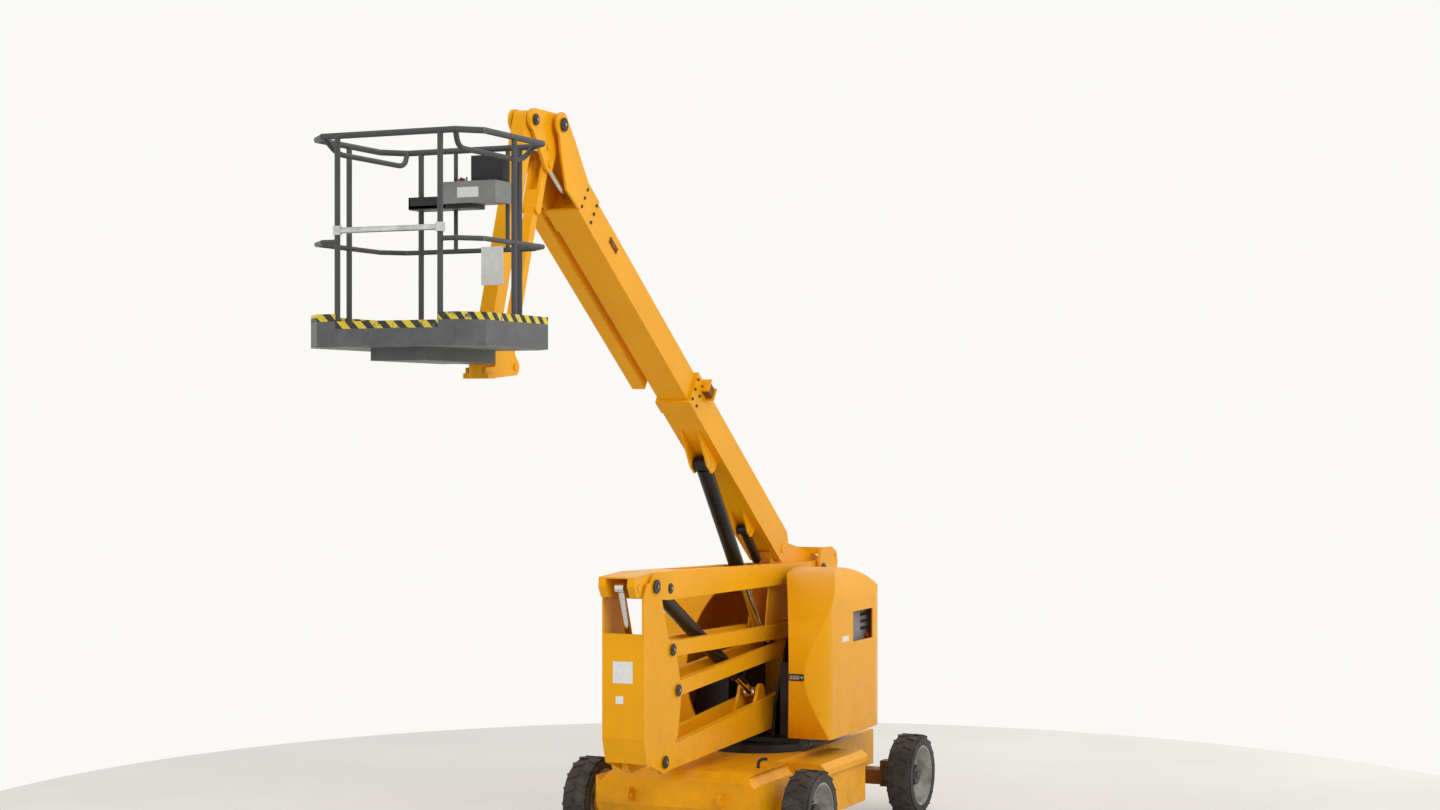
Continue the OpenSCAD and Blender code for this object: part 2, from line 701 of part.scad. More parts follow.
module jib_level_rod() {
    color(chrome) boom_frame() {
        translate([collar_x - 520, 0, rod_pin[1]]) rotate([0, 90, 0])
            cylinder(r = 24, h = rod_pin[0] - collar_x + 500);
        translate([rod_pin[0], 0, rod_pin[1]]) rotate([90, 0, 0]) translate([0, 0, -24]) cylinder(r = 30, h = 48);
    }
}

module jib_arm() {
    half = 46;
    color(yellow) difference() {
        union() {
            slab(-half, half) bar2d(J2, J3, 110);
        }
        cross_pin(J2, 24 + run_gap, -300, 300);
        cross_pin(J3, 24 + run_gap, -300, 300);
    }
}
module tie_rod() {
    fork_len = 170;
    color(yellow) difference() {
        union() {
            slab(-fork_in, fork_in) bar2d(K2, K3, 62);
            slab(-48, 48) bar2d(K2, K2 + 280 * jib_dir, 62);
        }
        // slot that the levelling rod passes through
        along(K2, K3) translate([-60, -fork_in, -60]) cube([60 + fork_len, 2 * fork_in, 120]);
        cross_pin(K2, 20 + run_gap, -300, 300);
        cross_pin(K3, 20 + run_gap, -300, 300);
    }
}
module basket_bracket() {
    half = 66;
    low = tray_z - 150;
    color(yellow) {
        slabs(half - 14, half) union() {
            polygon([K3 + [-48, 0], K3 + [-20, -46], [swivel_x - 40, low], [swivel_x + 20, low],
                [swivel_x + 20, low + 60], [swivel_x - 90, low + 70], J3 + [52, -10], J3 + [-50, 20]]);
            translate(K3) circle(r = 48);
            translate(J3) circle(r = 54);
        }
        translate([swivel_x - 60, -80, low]) cube([80, 160, 30]);
        translate([swivel_x, 0, low]) cylinder(r = 48, h = tray_z - 70.3 - low);
        translate([swivel_x, 0, low]) cylinder(r = swivel_r, h = tray_z - 10 - low);
    }
    color(black) {
        cross_pin(J3, 24, -half - 10, half + 10);
        cross_pin(K3, 20, -half - 8, half + 8);
    }
}

// Basket

corner = 110;
module basket_plan(d) {
    x0 = basket_rear + d;
    x1 = basket_front - d;
    y1 = basket_w / 2 - d;
    c = corner;
    polygon([[x0, -y1 + c], [x0 + c, -y1], [x1 - c, -y1], [x1, -y1 + c], [x1, y1 - c], [x1 - c, y1], [x0 + c, y1],
        [x0, y1 - c]]);
}
module basket_tray() {
    wall = 4;
    entry = 315;
    color(grey) difference() {
        union() {
            translate([0, 0, tray_z]) linear_extrude(tray_h) basket_plan(0);
            translate([basket_rear + 40, -170, tray_z - 70]) cube([basket_d - 160, 340, 71]);
            translate([swivel_x, 0, tray_z - 70]) cylinder(r = 70, h = 60);
            translate([swivel_x, -70, tray_z - 70]) cube([120, 140, 60]);
        }
        translate([0, 0, tray_z + 12]) linear_extrude(tray_h) basket_plan(wall);
        translate([basket_front - 20, -entry, tray_z + tray_h - 40]) cube([40, 2 * entry, 60]);
        translate([swivel_x, 0, tray_z - 100]) cylinder(r = swivel_r + run_gap, h = 200);
    }
}

function ring(x0, x1, y1, c, z) = [[x0, -y1 + c, z], [x0 + c, -y1, z], [x1 - c, -y1, z], [x1, -y1 + c, z],
    [x1, y1 - c, z], [x1 - c, y1, z], [x0 + c, y1, z], [x0, y1 - c, z], [x0, -y1 + c, z]];

rail_in = rail_r + 6;
post_r = rail_r - 1.5;
panel_r = rail_r * 0.7;
post_y = 315;
panel_y = [-90, 240];
module basket_rails() {
    x0 = basket_rear + rail_in;
    x1 = basket_front - rail_in;
    y1 = basket_w / 2 - rail_in;
    top = rail_z - rail_r;
    mid = tray_z + 560;
    color(grey) {
        tube_run(ring(x0, x1, y1, corner, top), rail_r);
        // mid rail, open at the entry
        tube_run([[x1, -post_y, mid], [x1, -y1 + corner, mid], [x1 - corner, -y1, mid], [x0 + corner, -y1, mid],
            [x0, -y1 + corner, mid], [x0, y1 - corner, mid], [x0 + corner, y1, mid], [x1 - corner, y1, mid],
            [x1, y1 - corner, mid], [x1, post_y, mid]], rail_r * 0.8);
        for (x = [x0, x1]) for (s = [-1, 1]) tube([x, s * post_y, tray_z + 12.3], [x, s * post_y, top], post_r);
        for (y = panel_y) tube([x0, y, mid], [x0, y, top], panel_r);
        for (s = [-1, 1]) tube([(x0 + x1) / 2, s * y1, tray_z + 12.3], [(x0 + x1) / 2, s * y1, top], post_r);
    }
}
module entry_bar() {
    x1 = basket_front - rail_in;
    z = tray_z + 560;
    color(pale) difference() {
        union() {
            tube([x1, -post_y, z + 60], [x1, post_y, z + 60], 16);
            for (s = [-1, 1]) translate([x1, s * post_y, z + 36]) cylinder(r = rail_r + 8, h = 48);
        }
        for (s = [-1, 1]) translate([x1, s * post_y, z]) cylinder(r = post_r + 0.3, h = 200);
    }
}
module control_box() {
    x0 = basket_rear + rail_in;
    color(grey) {
        translate([x0 + panel_r + 0.3, -60, rail_z - 330]) cube([180, 330, 120]);
        translate([x0 + panel_r + 0.3, -300, rail_z - 350]) cube([140, 400, 20]);
    }
}
module document_box() {
    x0 = basket_rear + rail_in;
    color(black) translate([x0 + panel_r + 20, 60, rail_z - 209.7]) cube([60, 200, 150]);
}

chassis();
side_boxes();
rear_axle();
slew_ring();
knuckle_left();
knuckle_right();
tyre_front_left();
tyre_front_right();
tyre_rear_left();
tyre_rear_right();
rim_front_left();
rim_front_right();
rim_rear_left();
rim_rear_right();
turret();
counterweight();
battery_packs();
ground_controls();
hood_left();
hood_right();
lower_arm();
lower_link();
post();
upper_arm();
upper_link();
head();
arm_barrel();
arm_rod();
post_barrel();
post_rod();
boom_barrel();
boom_rod();
level_barrel();
level_rod();
base_boom();
inner_boom();
cable_tray();
jib_root();
jib_level_rod();
jib_arm();
tie_rod();
basket_bracket();
basket_tray();
basket_rails();
entry_bar();
control_box();
document_box();
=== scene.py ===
import json
import math

import bmesh
import bpy
from bpy.props import FloatProperty, FloatVectorProperty, IntProperty, PointerProperty
from mathutils import Matrix, Vector


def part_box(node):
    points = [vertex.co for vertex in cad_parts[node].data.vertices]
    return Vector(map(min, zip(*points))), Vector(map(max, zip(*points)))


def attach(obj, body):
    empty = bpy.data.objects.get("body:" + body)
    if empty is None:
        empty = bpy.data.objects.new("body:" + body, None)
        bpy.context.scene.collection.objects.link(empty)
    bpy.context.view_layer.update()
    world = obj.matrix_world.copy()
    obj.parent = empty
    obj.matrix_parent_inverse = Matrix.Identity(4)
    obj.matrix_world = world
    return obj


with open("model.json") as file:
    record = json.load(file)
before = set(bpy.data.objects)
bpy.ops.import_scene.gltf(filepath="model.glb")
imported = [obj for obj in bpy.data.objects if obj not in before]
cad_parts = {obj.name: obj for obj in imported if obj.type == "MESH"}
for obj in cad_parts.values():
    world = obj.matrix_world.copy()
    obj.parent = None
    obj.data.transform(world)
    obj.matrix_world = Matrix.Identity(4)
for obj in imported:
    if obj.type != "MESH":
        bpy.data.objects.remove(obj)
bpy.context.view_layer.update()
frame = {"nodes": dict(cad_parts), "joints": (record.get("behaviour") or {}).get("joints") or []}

bl_info = {
    "name": "Boom Lift Dresser",
    "version": (1, 0, 0),
    "blender": (4, 5, 0),
    "location": "View3D > Sidebar > Boom Lift",
    "description": "Paints the boom lift's solids and adds its small fittings and stage",
    "category": "Object",
}

JOINTS = {j["name"]: j for j in frame["joints"]}
WHEELS = ("front_left", "front_right", "rear_left", "rear_right")


# Sizes and colours that a user would change

class LiftFinish(bpy.types.PropertyGroup):
    """Colours of the machine's finishes"""

    paint: FloatVectorProperty(
        name="Paint", description="Main paint of the machine", subtype="COLOR", size=3,
        default=(0.86, 0.385, 0.004), min=0, max=1)
    chip: FloatVectorProperty(
        name="Chips", description="Bare and rusted metal where paint is worn off", subtype="COLOR", size=3,
        default=(0.07, 0.035, 0.018), min=0, max=1)
    axle: FloatVectorProperty(
        name="Axle", description="Oily paint of the rear axle", subtype="COLOR", size=3,
        default=(0.22, 0.075, 0.012), min=0, max=1)
    steel: FloatVectorProperty(
        name="Basket", description="Dark grey paint of the basket", subtype="COLOR", size=3,
        default=(0.085, 0.09, 0.09), min=0, max=1)
    rubber: FloatVectorProperty(
        name="Rubber", description="Tyres", subtype="COLOR", size=3,
        default=(0.035, 0.032, 0.028), min=0, max=1)
    rim: FloatVectorProperty(
        name="Rim", description="Pale grey wheel rims", subtype="COLOR", size=3,
        default=(0.5, 0.5, 0.46), min=0, max=1)
    plate: FloatVectorProperty(
        name="Plate", description="Blank plates", subtype="COLOR", size=3,
        default=(0.8, 0.8, 0.77), min=0, max=1)


class LiftFittings(bpy.types.PropertyGroup):
    """Sizes of the small fittings"""

    wheel_bolts: IntProperty(
        name="Wheel bolts", description="Bolts in each rim", default=9, min=4, max=16)
    bolt_radius: FloatProperty(
        name="Bolt radius", description="Half the width of a bolt's head", default=0.011, unit="LENGTH")
    bolt_height: FloatProperty(
        name="Bolt height", description="Height of a bolt's head", default=0.008, unit="LENGTH")
    hub_radius: FloatProperty(
        name="Hub radius", description="Radius of the hub's sleeve", default=0.074, unit="LENGTH")
    cap_height: FloatProperty(
        name="Pin cap", description="Thickness of the cap on a pin's end", default=0.006, unit="LENGTH")
    plate_thickness: FloatProperty(
        name="Plate thickness", description="Thickness of a blank plate", default=0.002, unit="LENGTH")


def finish():
    return bpy.context.scene.lift_finish


def fittings():
    return bpy.context.scene.lift_fittings


# Shader building blocks

def start_material(name):
    """A new material with an empty tree, its Principled shader and Object coordinates."""
    material = bpy.data.materials.new(name)
    material.use_nodes = True
    tree = material.node_tree
    tree.nodes.clear()
    output = tree.nodes.new("ShaderNodeOutputMaterial")
    shader = tree.nodes.new("ShaderNodeBsdfPrincipled")
    tree.links.new(shader.outputs["BSDF"], output.inputs["Surface"])
    coords = tree.nodes.new("ShaderNodeTexCoord").outputs["Object"]
    return material, tree, shader, coords


def set_input(tree, socket, value):
    """Links a socket, or sets a number or colour on it."""
    if isinstance(value, bpy.types.NodeSocket):
        tree.links.new(value, socket)
    else:
        socket.default_value = value


def noise(tree, coords, scale, detail=4.0, roughness=0.55):
    """A noise value at the given coordinates."""
    n = tree.nodes.new("ShaderNodeTexNoise")
    tree.links.new(coords, n.inputs["Vector"])
    n.inputs["Scale"].default_value = scale
    n.inputs["Detail"].default_value = detail
    n.inputs["Roughness"].default_value = roughness
    return n.outputs["Fac"]


def stretched(tree, coords, scale):
    """Object coordinates scaled by an amount for each axis."""
    n = tree.nodes.new("ShaderNodeMapping")
    tree.links.new(coords, n.inputs["Vector"])
    n.inputs["Scale"].default_value = scale
    return n.outputs["Vector"]


def remap(tree, value, low, high, to_low=0.0, to_high=1.0):
    """A value stretched from one range to another and kept inside it."""
    n = tree.nodes.new("ShaderNodeMapRange")
    set_input(tree, n.inputs["Value"], value)
    n.inputs["From Min"].default_value = low
    n.inputs["From Max"].default_value = high
    n.inputs["To Min"].default_value = to_low
    n.inputs["To Max"].default_value = to_high
    return n.outputs["Result"]


def maths(tree, operation, a, b=0.0):
    """The result of a sum on one or two values."""
    n = tree.nodes.new("ShaderNodeMath")
    n.operation = operation
    set_input(tree, n.inputs[0], a)
    set_input(tree, n.inputs[1], b)
    return n.outputs["Value"]


def blend(tree, factor, a, b):
    """A colour between a and b."""
    n = tree.nodes.new("ShaderNodeMix")
    n.data_type = "RGBA"
    set_input(tree, n.inputs[0], factor)
    set_input(tree, n.inputs[6], a)
    set_input(tree, n.inputs[7], b)
    return n.outputs[2]


def split(tree, coords):
    """The X, Y and Z of coordinates."""
    n = tree.nodes.new("ShaderNodeSeparateXYZ")
    tree.links.new(coords, n.inputs["Vector"])
    return n.outputs["X"], n.outputs["Y"], n.outputs["Z"]


def bump(tree, shader, height, strength, distance):
    """Roughens a shader's normal by a height."""
    n = tree.nodes.new("ShaderNodeBump")
    n.inputs["Strength"].default_value = strength
    n.inputs["Distance"].default_value = distance
    tree.links.new(height, n.inputs["Height"])
    tree.links.new(n.outputs["Normal"], shader.inputs["Normal"])


def edge_mask(tree, radius):
    """1 at sharp edges of the piece, 0 on its faces."""
    flat, sharp = 0.97, 0.72
    rounded = tree.nodes.new("ShaderNodeBevel")
    rounded.samples = 4
    rounded.inputs["Radius"].default_value = radius
    true = tree.nodes.new("ShaderNodeNewGeometry")
    dot = tree.nodes.new("ShaderNodeVectorMath")
    dot.operation = "DOT_PRODUCT"
    tree.links.new(rounded.outputs["Normal"], dot.inputs[0])
    tree.links.new(true.outputs["Normal"], dot.inputs[1])
    return remap(tree, dot.outputs["Value"], flat, sharp)


def tint(colour, factor):
    """An RGBA colour, lighter or darker by a factor."""
    return tuple(min(1.0, c * factor) for c in colour[:3]) + (1.0,)


# Materials of this machine

LOW_DARK_BROWN = (0.09, 0.06, 0.035, 1)
GREASY_DUST = (0.08, 0.065, 0.05, 1)
TYRE_DUST = (0.13, 0.11, 0.085, 1)
SCUFFED_RUBBER = (0.16, 0.145, 0.125, 1)
CHROME = (0.72, 0.72, 0.72, 1)
OILY_CHROME = (0.56, 0.55, 0.53, 1)
PLATE_EDGE = (0.32, 0.28, 0.22, 1)
RUBBED_STEEL = (0.24, 0.24, 0.23, 1)
BARE_STEEL = (0.3, 0.28, 0.25, 1)
STRIPE_BLACK = (0.02, 0.02, 0.02, 1)
STRIPE_YELLOW = (0.72, 0.55, 0.03, 1)


def worn_paint(name, colour, chips, roughness=0.32, wear=0.55, low_darkening=0.35):
    """Enamel with a soft tone, scuffs, chips along the edges and blotches of dark brown that grow towards
    the bottom.
    """
    material, tree, shader, coords = start_material(name)
    tone = noise(tree, coords, 1.3, 3)
    base = blend(tree, remap(tree, tone, 0.3, 0.7), tint(colour, 0.93), tint(colour, 1.05))
    # fine scratches and rubbed patches
    rub = remap(tree, noise(tree, stretched(tree, coords, (6, 9, 2)), 4, 8, 0.7), 0.6, 0.78)
    base = blend(tree, maths(tree, "MULTIPLY", rub, 0.45), base, tint(colour, 0.62))
    # blotches of dark brown, stronger towards the bottom of the machine
    height = split(tree, coords)[2]
    low = remap(tree, height, 1.3, 0.2)
    blot = remap(tree, noise(tree, coords, 5, 6, 0.65), 0.42, 0.72)
    low_dark_mask = maths(tree, "MULTIPLY", maths(tree, "MULTIPLY", low, blot), low_darkening)
    base = blend(tree, low_dark_mask, base, LOW_DARK_BROWN)
    # chips sit on edges where a coarse noise allows them, and as a few specks
    ragged = remap(tree, noise(tree, coords, 24, 6, 0.7), 0.46, 0.58)
    edges = maths(tree, "MULTIPLY", edge_mask(tree, 0.007), ragged)
    speck = remap(tree, noise(tree, coords, 55, 3, 0.6), 0.74, 0.78)
    patch = remap(tree, noise(tree, coords, 2.2, 2), 0.55, 0.65)
    worn = maths(tree, "MAXIMUM", edges, maths(tree, "MULTIPLY", speck, patch))
    worn = maths(tree, "MULTIPLY", worn, wear)
    base = blend(tree, worn, base, tint(chips, 1.0))
    tree.links.new(base, shader.inputs["Base Color"])
    rough = remap(tree, noise(tree, coords, 9, 4), 0.3, 0.7, roughness - 0.06, roughness + 0.1)
    rough = maths(tree, "ADD", rough, maths(tree, "MULTIPLY", worn, 0.4))
    tree.links.new(rough, shader.inputs["Roughness"])
    peel = maths(tree, "SUBTRACT", maths(tree, "MULTIPLY", noise(tree, coords, 140, 2), 0.12), worn)
    bump(tree, shader, peel, 0.25, 0.0008)
    shader.inputs["Specular IOR Level"].default_value = 0.14
    shader.inputs["Coat Weight"].default_value = 0.04
    shader.inputs["Coat Roughness"].default_value = 0.12
    return material


def gloss_black(name, value=0.006):
    """Black cylinder enamel with an oily film."""
    material, tree, shader, coords = start_material(name)
    film = remap(tree, noise(tree, coords, 7, 5, 0.6), 0.35, 0.7)
    base = blend(tree, film, (value, value, value, 1), (value * 2.4, value * 2.2, value * 1.9, 1))
    dust = remap(tree, noise(tree, coords, 30, 4), 0.62, 0.8)
    base = blend(tree, maths(tree, "MULTIPLY", dust, 0.3), base, GREASY_DUST)
    tree.links.new(base, shader.inputs["Base Color"])
    tree.links.new(remap(tree, film, 0, 1, 0.18, 0.42), shader.inputs["Roughness"])
    shader.inputs["Specular IOR Level"].default_value = 0.3
    bump(tree, shader, noise(tree, coords, 90, 3), 0.12, 0.0006)
    return material


def bright_rod(name):
    """Chromed piston rod with faint rings of oil."""
    material, tree, shader, coords = start_material(name)
    rings = noise(tree, stretched(tree, coords, (40, 40, 40)), 2, 2)
    base = blend(tree, remap(tree, rings, 0.4, 0.7), CHROME, OILY_CHROME)
    tree.links.new(base, shader.inputs["Base Color"])
    tree.links.new(remap(tree, rings, 0.3, 0.8, 0.1, 0.26), shader.inputs["Roughness"])
    shader.inputs["Metallic"].default_value = 1.0
    return material


def tyre_rubber(name):
    """Grey-brown solid rubber, dusty and scuffed."""
    material, tree, shader, coords = start_material(name)
    colour = finish().rubber
    grain = noise(tree, coords, 45, 6, 0.65)
    base = blend(tree, remap(tree, grain, 0.35, 0.7), tint(colour, 0.8), tint(colour, 1.5))
    dust = remap(tree, noise(tree, coords, 6, 5, 0.6), 0.45, 0.72)
    base = blend(tree, maths(tree, "MULTIPLY", dust, 0.55), base, TYRE_DUST)
    worn = maths(tree, "MULTIPLY", edge_mask(tree, 0.005), 0.5)
    base = blend(tree, worn, base, SCUFFED_RUBBER)
    tree.links.new(base, shader.inputs["Base Color"])
    tree.links.new(remap(tree, grain, 0.3, 0.7, 0.7, 0.92), shader.inputs["Roughness"])
    bump(tree, shader, grain, 0.35, 0.0012)
    return material


def moulded_plastic(name, colour):
    """Pebbled plastic with rubbed patches."""
    material, tree, shader, coords = start_material(name)
    grain = noise(tree, coords, 420, 2)
    cloud = remap(tree, noise(tree, coords, 8, 4), 0.35, 0.7)
    base = blend(tree, cloud, tint(colour, 0.85), tint(colour, 1.2))
    tree.links.new(base, shader.inputs["Base Color"])
    tree.links.new(remap(tree, cloud, 0, 1, 0.42, 0.6), shader.inputs["Roughness"])
    bump(tree, shader, grain, 0.3, 0.0004)
    return material


def brushed_metal(name, colour):
    """Plain aluminium or zinc with fine brushing and dull spots."""
    material, tree, shader, coords = start_material(name)
    brush = noise(tree, stretched(tree, coords, (300, 8, 300)), 1, 4)
    dull = remap(tree, noise(tree, coords, 16, 4), 0.4, 0.75)
    base = blend(tree, dull, tint(colour, 1.05), tint(colour, 0.65))
    tree.links.new(base, shader.inputs["Base Color"])
    tree.links.new(remap(tree, brush, 0.3, 0.7, 0.28, 0.46), shader.inputs["Roughness"])
    shader.inputs["Metallic"].default_value = 1.0
    bump(tree, shader, brush, 0.1, 0.0003)
    return material


def blank_plate(name, colour):
    """Faded enamel sheet of a blank plate."""
    material, tree, shader, coords = start_material(name)
    fade = remap(tree, noise(tree, coords, 18, 5, 0.6), 0.35, 0.75)
    base = blend(tree, fade, tint(colour, 1.0), tint(colour, 0.86))
    rim = maths(tree, "MULTIPLY", edge_mask(tree, 0.003), 0.5)
    base = blend(tree, rim, base, PLATE_EDGE)
    tree.links.new(base, shader.inputs["Base Color"])
    tree.links.new(remap(tree, fade, 0, 1, 0.35, 0.55), shader.inputs["Roughness"])
    return material


def striped_tray(name):
    """Gritty basket paint with a band of black and yellow stripes along the tray's upper edge."""
    _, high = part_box("basket_tray")
    material, tree, shader, coords = start_material(name)
    colour = finish().steel
    x, y, z = split(tree, coords)
    cloud = remap(tree, noise(tree, coords, 7, 6, 0.65), 0.38, 0.7)
    base = blend(tree, cloud, tint(colour, 0.9), tint(colour, 1.5))
    rub = remap(tree, noise(tree, stretched(tree, coords, (3, 3, 14)), 6, 8, 0.7), 0.6, 0.75)
    base = blend(tree, maths(tree, "MULTIPLY", rub, 0.6), base, RUBBED_STEEL)
    # slanted stripes along the upper edge, which is lower at the entry
    pair, band_height, front_depth, entry_half, entry_drop = 0.1, 0.04, 0.03, 0.315, 0.04
    slant = maths(tree, "ADD", maths(tree, "SUBTRACT", y, x), z)
    step = maths(tree, "FRACT", maths(tree, "DIVIDE", slant, pair))
    is_yellow = maths(tree, "GREATER_THAN", step, 0.5)
    stripes = blend(tree, is_yellow, STRIPE_BLACK, STRIPE_YELLOW)
    at_front = maths(tree, "GREATER_THAN", x, high[0] - front_depth)
    at_entry = maths(tree, "LESS_THAN", maths(tree, "ABSOLUTE", y), entry_half)
    drop = maths(tree, "MULTIPLY", maths(tree, "MULTIPLY", at_front, at_entry), entry_drop)
    band = maths(tree, "GREATER_THAN", maths(tree, "ADD", z, drop), high[2] - band_height)
    scraped = remap(tree, noise(tree, coords, 22, 6, 0.7), 0.56, 0.62, 1, 0)
    base = blend(tree, maths(tree, "MULTIPLY", band, scraped), base, stripes)
    edges = edge_mask(tree, 0.006)
    worn = maths(tree, "MULTIPLY", edges, remap(tree, noise(tree, coords, 30, 5, 0.7), 0.42, 0.55))
    base = blend(tree, maths(tree, "MULTIPLY", worn, 0.7), base, BARE_STEEL)
    tree.links.new(base, shader.inputs["Base Color"])
    tree.links.new(remap(tree, cloud, 0, 1, 0.45, 0.65), shader.inputs["Roughness"])
    bump(tree, shader, noise(tree, coords, 160, 3), 0.3, 0.001)
    return material


def make_materials():
    """Every finish of the machine, by a plain name."""
    f = finish()
    return {
        "paint": worn_paint("machine_paint", f.paint, f.chip),
        "axle": worn_paint("axle_paint", f.axle, f.chip, roughness=0.5, wear=0.7, low_darkening=0.8),
        "steel": worn_paint("basket_paint", f.steel, (0.3, 0.27, 0.23), roughness=0.45, wear=0.7, low_darkening=0.0),
        "rim": worn_paint("rim_paint", f.rim, (0.16, 0.13, 0.1), roughness=0.5, wear=0.6, low_darkening=0.9),
        "tray": striped_tray("tray_paint"),
        "black": gloss_black("cylinder_black"),
        "dull_black": gloss_black("frame_black", 0.009),
        "rod": bright_rod("rod_chrome"),
        "rubber": tyre_rubber("tyre_rubber"),
        "grey_plastic": moulded_plastic("panel_plastic", (0.23, 0.235, 0.23)),
        "black_plastic": moulded_plastic("black_plastic", (0.01, 0.01, 0.011)),
        "red_plastic": moulded_plastic("stop_plastic", (0.5, 0.02, 0.015)),
        "zinc": brushed_metal("bolt_zinc", (0.42, 0.42, 0.4)),
        "aluminium": brushed_metal("bar_aluminium", (0.66, 0.66, 0.64)),
        "plate": blank_plate("blank_plate", f.plate),
    }


MATERIALS = {}


# finishes of single nodes; what is in no list is painted
NODE_FINISH = {
    "rear_axle": "axle", "basket_tray": "tray", "basket_rails": "steel", "entry_bar": "aluminium",
    "control_box": "grey_plastic", "ground_controls": "grey_plastic",
    "document_box": "black_plastic", "battery_packs": "black_plastic",
    "slew_ring": "dull_black", "turret": "dull_black", "tie_rod": "paint",
}
# finishes by how a node's name starts or ends
START_FINISH = {"tyre": "rubber", "rim": "rim", "knuckle": "dull_black"}
END_FINISH = {"_rod": "rod", "_barrel": "black"}


def finish_of(node):
    """The finish that a CAD node carries."""
    if node in NODE_FINISH:
        return NODE_FINISH[node]
    for start, name in START_FINISH.items():
        if node.startswith(start):
            return name
    for end, name in END_FINISH.items():
        if node.endswith(end):
            return name
    return "paint"


# Mesh building blocks

# points closer than this are one, and the shortest step of a tube's path, in metres
MERGE_DISTANCE = 1e-6
SHORTEST_STEP = 1e-5


def add_piece(name, mesh, body, material):
    """Puts a finished mesh in the scene as a piece of one body."""
    piece = bpy.data.objects.new(name, mesh)
    bpy.context.collection.objects.link(piece)
    piece.data.materials.clear()
    piece.data.materials.append(MATERIALS[material])
    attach(piece, body)
    return piece


def mesh_of(bm, name):
    """Closes a bmesh: doubles merged, faces outwards."""
    bmesh.ops.remove_doubles(bm, verts=bm.verts, dist=MERGE_DISTANCE)
    bmesh.ops.recalc_face_normals(bm, faces=bm.faces)
    mesh = bpy.data.meshes.new(name)
    bm.to_mesh(mesh)
    bm.free()
    return mesh


def close_piece(bm, name, body, material):
    """Closes a bmesh and puts it in the scene as a piece of one body."""
    return add_piece(name, mesh_of(bm, name), body, material)


def add_box(bm, low, high, round_edge=0.0):
    """A box between two corners, with its edges rounded."""
    made = bmesh.ops.create_cube(bm, size=1)["verts"]
    low, high = Vector(low), Vector(high)
    for v in made:
        v.co = Vector(((low[i] + high[i]) / 2 + v.co[i] * (high[i] - low[i])) for i in range(3))
    if round_edge:
        edges = list({e for v in made for e in v.link_edges})
        bmesh.ops.bevel(bm, geom=edges, offset=round_edge, segments=2, affect="EDGES", profile=0.5)


def add_lathe(bm, centre, axis, profile, steps=40):
    """Turns a profile of (radius, distance along the axis) about an axis through centre."""
    turn = Vector((0, 0, 1)).rotation_difference(Vector(axis)).to_matrix().to_4x4()
    place = Matrix.Translation(Vector(centre)) @ turn
    rings = []
    for radius, along in profile:
        if radius <= 0:
            rings.append([bm.verts.new(place @ Vector((0, 0, along)))])
            continue
        rings.append([bm.verts.new(place @ Vector((radius * math.cos(2 * math.pi * i / steps),
                                                   radius * math.sin(2 * math.pi * i / steps), along)))
                      for i in range(steps)])
    for a, b in zip(rings, rings[1:]):
        for i in range(steps):
            corners = [a[i % len(a)], a[(i + 1) % len(a)], b[(i + 1) % len(b)], b[i % len(b)]]
            face = list(dict.fromkeys(corners))
            if len(face) > 2:
                bm.faces.new(face)


def cap_profile(radius, height):
    """A low turned cap with a soft rim, closed below."""
    return ((0, 0), (radius, 0), (radius, height * 0.6), (radius - height * 0.4, height), (0, height))


def rounded_path(points, bend, steps=6):
    """The points of a bent tube: straight runs with an arc-like corner at each inner point."""
    points = [Vector(p) for p in points]
    path = [points[0]]
    for before, corner, after in zip(points, points[1:], points[2:]):
        start = corner + (before - corner).normalized() * min(bend, (before - corner).length / 2)
        end = corner + (after - corner).normalized() * min(bend, (after - corner).length / 2)
        for i in range(steps + 1):
            t = i / steps
            path.append(start * (1 - t) ** 2 + corner * 2 * t * (1 - t) + end * t ** 2)
    path.append(points[-1])
    return path


def add_tube(bm, points, radius, bend=0.05, sides=14):
    """Sweeps a round section along a bent path and closes its ends."""
    path = rounded_path(points, bend)
    path = [p for i, p in enumerate(path) if i == 0 or (p - path[i - 1]).length > SHORTEST_STEP]
    across = None
    rings = []
    for i, point in enumerate(path):
        ahead = (path[min(i + 1, len(path) - 1)] - path[max(i - 1, 0)]).normalized()
        if across is None:
            across = ahead.orthogonal().normalized()
        across = (across - ahead * across.dot(ahead)).normalized()
        side = ahead.cross(across)
        rings.append([bm.verts.new(point + (across * math.cos(2 * math.pi * k / sides)
                                            + side * math.sin(2 * math.pi * k / sides)) * radius)
                      for k in range(sides)])
    for a, b in zip(rings, rings[1:]):
        for k in range(sides):
            bm.faces.new((a[k], a[(k + 1) % sides], b[(k + 1) % sides], b[k]))
    bm.faces.new(rings[0])
    bm.faces.new(rings[-1])


def smooth(piece, angle=40):
    """Shades a piece smooth, apart from its sharp edges."""
    limit = math.radians(angle)
    bm = bmesh.new()
    bm.from_mesh(piece.data)
    for face in bm.faces:
        face.smooth = True
    for edge in bm.edges:
        edge.smooth = not edge.is_manifold or edge.calc_face_angle(0) < limit
    bm.to_mesh(piece.data)
    bm.free()
    return piece


def boom_point(along, across, up):
    """A point given in the boom's own frame, in metres from its pivot."""
    pivot = Vector(JOINTS["boom_lift"]["pos_m"])
    ahead = Vector(JOINTS["telescope"]["axis"])
    upward = Vector((-ahead.z, 0, ahead.x))
    return pivot + ahead * along + Vector((0, across, 0)) + upward * up


def boom_turned(bm):
    """Turns and moves a bmesh made in the boom's own frame to its place."""
    ahead = Vector(JOINTS["telescope"]["axis"])
    turn = Matrix.Rotation(-math.atan2(ahead.z, ahead.x), 4, "Y")
    bmesh.ops.transform(bm, matrix=Matrix.Translation(JOINTS["boom_lift"]["pos_m"]) @ turn, verts=bm.verts)


# Bolt heads by Geometry Nodes

HEAD_SIDES = 6


